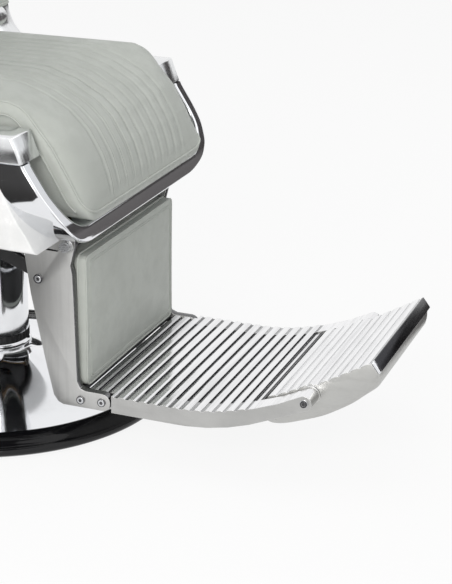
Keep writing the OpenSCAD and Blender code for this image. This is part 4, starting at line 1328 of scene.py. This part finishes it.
def lean(obj, s=leanSet):
    # turned back about the recline pin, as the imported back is
    turn = Matrix.Rotation(math.radians(-s["angle"]), 4, "X")
    obj.data.transform(Matrix.Translation(Vector((0, *s["pivot"])) * mm) @ turn)
    return obj


def channelled(obj, s):
    # sewn channels up the face, easing out before both ends
    co = points(obj) / mm
    facing = normals(obj)
    x, z = co[:, 0], co[:, 2]
    low, high, fade = s["low"] + 30, s["high"] - 30, 18
    ease = np.clip((z - low) / fade, 0, 1) * np.clip((high - z) / fade, 0, 1)
    ease *= np.clip((-facing[:, 1] - 0.2) * 2, 0, 1) * (np.abs(x) < (s["channels"] / 2 + 0.3) * s["pitch"])
    deep = -s["channelDepth"] * sunk(fromChannel(x, s["pitch"]), s["channelWidth"])
    setPoints(obj, (co + facing * (deep * ease)[:, None]) * mm)


def edgeWelts(name, target, s):
    # a piping along each of the pad's two seams
    face = s["front"] + s["crown"]
    return [weltRound(f"{name}{number}", target, s, y, 1, s["weltRadius"])
            for number, y in enumerate((face + 1, face + s["boxing"]), 1)]


def weltRound(name, target, s, y, inset, radius):
    return welt(name, target, even(closedRun(ringOf(s, y, inset)), 6)[:-1], radius, closed=True)


def makePad(name, weltName, s, body, node, finish="upholstery", leaning=False):
    # a pad with its pipings, in place of its node
    obj = pad(name, s)
    if "channels" in s:
        channelled(obj, s)
    welts = edgeWelts(weltName, obj, s)
    for made in [obj] + welts:
        if leaning:
            lean(made)
    dress(smooth(obj, 60), finish, body, "upholstery", node)
    for made in welts:
        dress(made, "upholstery", body, "upholstery")
    return obj


calfSet = {
    "half": 197, "low": 124.5, "high": 376, "corner": 10, "front": -302, "back": -252,
    "crown": 4, "boxing": 18, "draw": 1.5,
    "voxel": 5, "pressure": 4, "cap": 7, "frames": 12, "weltRadius": 1.8,
}


def makeCalfPad(s):
    obj = makePad("calfPad", "calfWelt", s, "leg_rest", "calf_pad")
    for number, inset in enumerate((11, 15), 1):
        made = weltRound(f"calfStitch{number}", obj, s, s["front"] - 6, inset, 0.7)
        dress(made, "upholstery", "leg_rest", "upholstery")


makeCalfPad(calfSet)

backSet = {
    "half": 255, "low": 77, "high": 545, "corner": 42, "front": -70, "back": 13.7,
    "crown": 14, "boxing": 27, "draw": 4,
    "voxel": 7, "pressure": 4, "cap": 14, "frames": 12, "weltRadius": 2.3,
    "pitch": 30.5, "channels": 10, "channelDepth": 3.0, "channelWidth": 4.2,
}
makePad("backCushion", "backWelt", backSet, "back", "back_cushion", finish="seatLeather", leaning=True)

headSet = {
    "half": 134, "low": 573, "high": 701, "corner": 38, "front": -72, "back": 1.7,
    "crown": 10, "boxing": 24, "draw": 2,
    "voxel": 5, "pressure": 4, "cap": 10, "frames": 12, "weltRadius": 2.0,
}
makePad("headCushion", "headWelt", headSet, "headrest", "headrest_cushion", leaning=True)

armPadSet = {
    "inner": 269, "outer": 346, "front": -205, "rear": 90, "low": 828.5, "high": 862,
    "corner": 15, "start": 3, "voxel": 4, "pressure": 4, "cap": 5, "frames": 12,
    "weltRadius": 1.6, "weltUp": 7,
}


def makeArmPads(s):
    i, corner = s["start"], s["corner"]
    inner, outer, front, rear, low = (s[k] for k in ("inner", "outer", "front", "rear", "low"))
    outline = curveOf((rear - corner - i, s["high"] - corner - i), corner, 0, 90, 6)
    outline += curveOf((front + corner + i, s["high"] - corner - i), corner, 90, 180, 6)
    outline += [(front + i, low), (rear - i, low)]
    left = slab("armPadLeft", scaled(outline), (inner + i) * mm, (outer - i) * mm)
    puff(left, s, lambda co: co[:, 2] < low + 3, rounds=3)
    co = points(left)
    co[:, 2] = np.maximum(co[:, 2], low * mm)
    setPoints(left, co)
    run = [(x, y, low + s["weltUp"]) for x, y in (
        (inner + 2, front + 12), (inner + 12, front + 2), (outer - 12, front + 2), (outer - 2, front + 12),
        (outer - 2, rear - 12), (outer - 12, rear - 2), (inner + 12, rear - 2), (inner + 2, rear - 12))]
    cord = welt("armWeltLeft", left, even(closedRun(run), 5)[:-1], s["weltRadius"], closed=True)
    right, cordRight = mirrored(left, "armPadRight"), mirrored(cord, "armWeltRight")
    for obj, welting, side in ((left, cord, "left"), (right, cordRight, "right")):
        dress(smooth(obj, 60), "upholstery", "seat", "upholstery", f"arm_pad_{side}")
        dress(welting, "upholstery", "seat", "upholstery")


makeArmPads(armPadSet)
print("stage: pads made")


clearSelection()
print("stage: whole chair made")
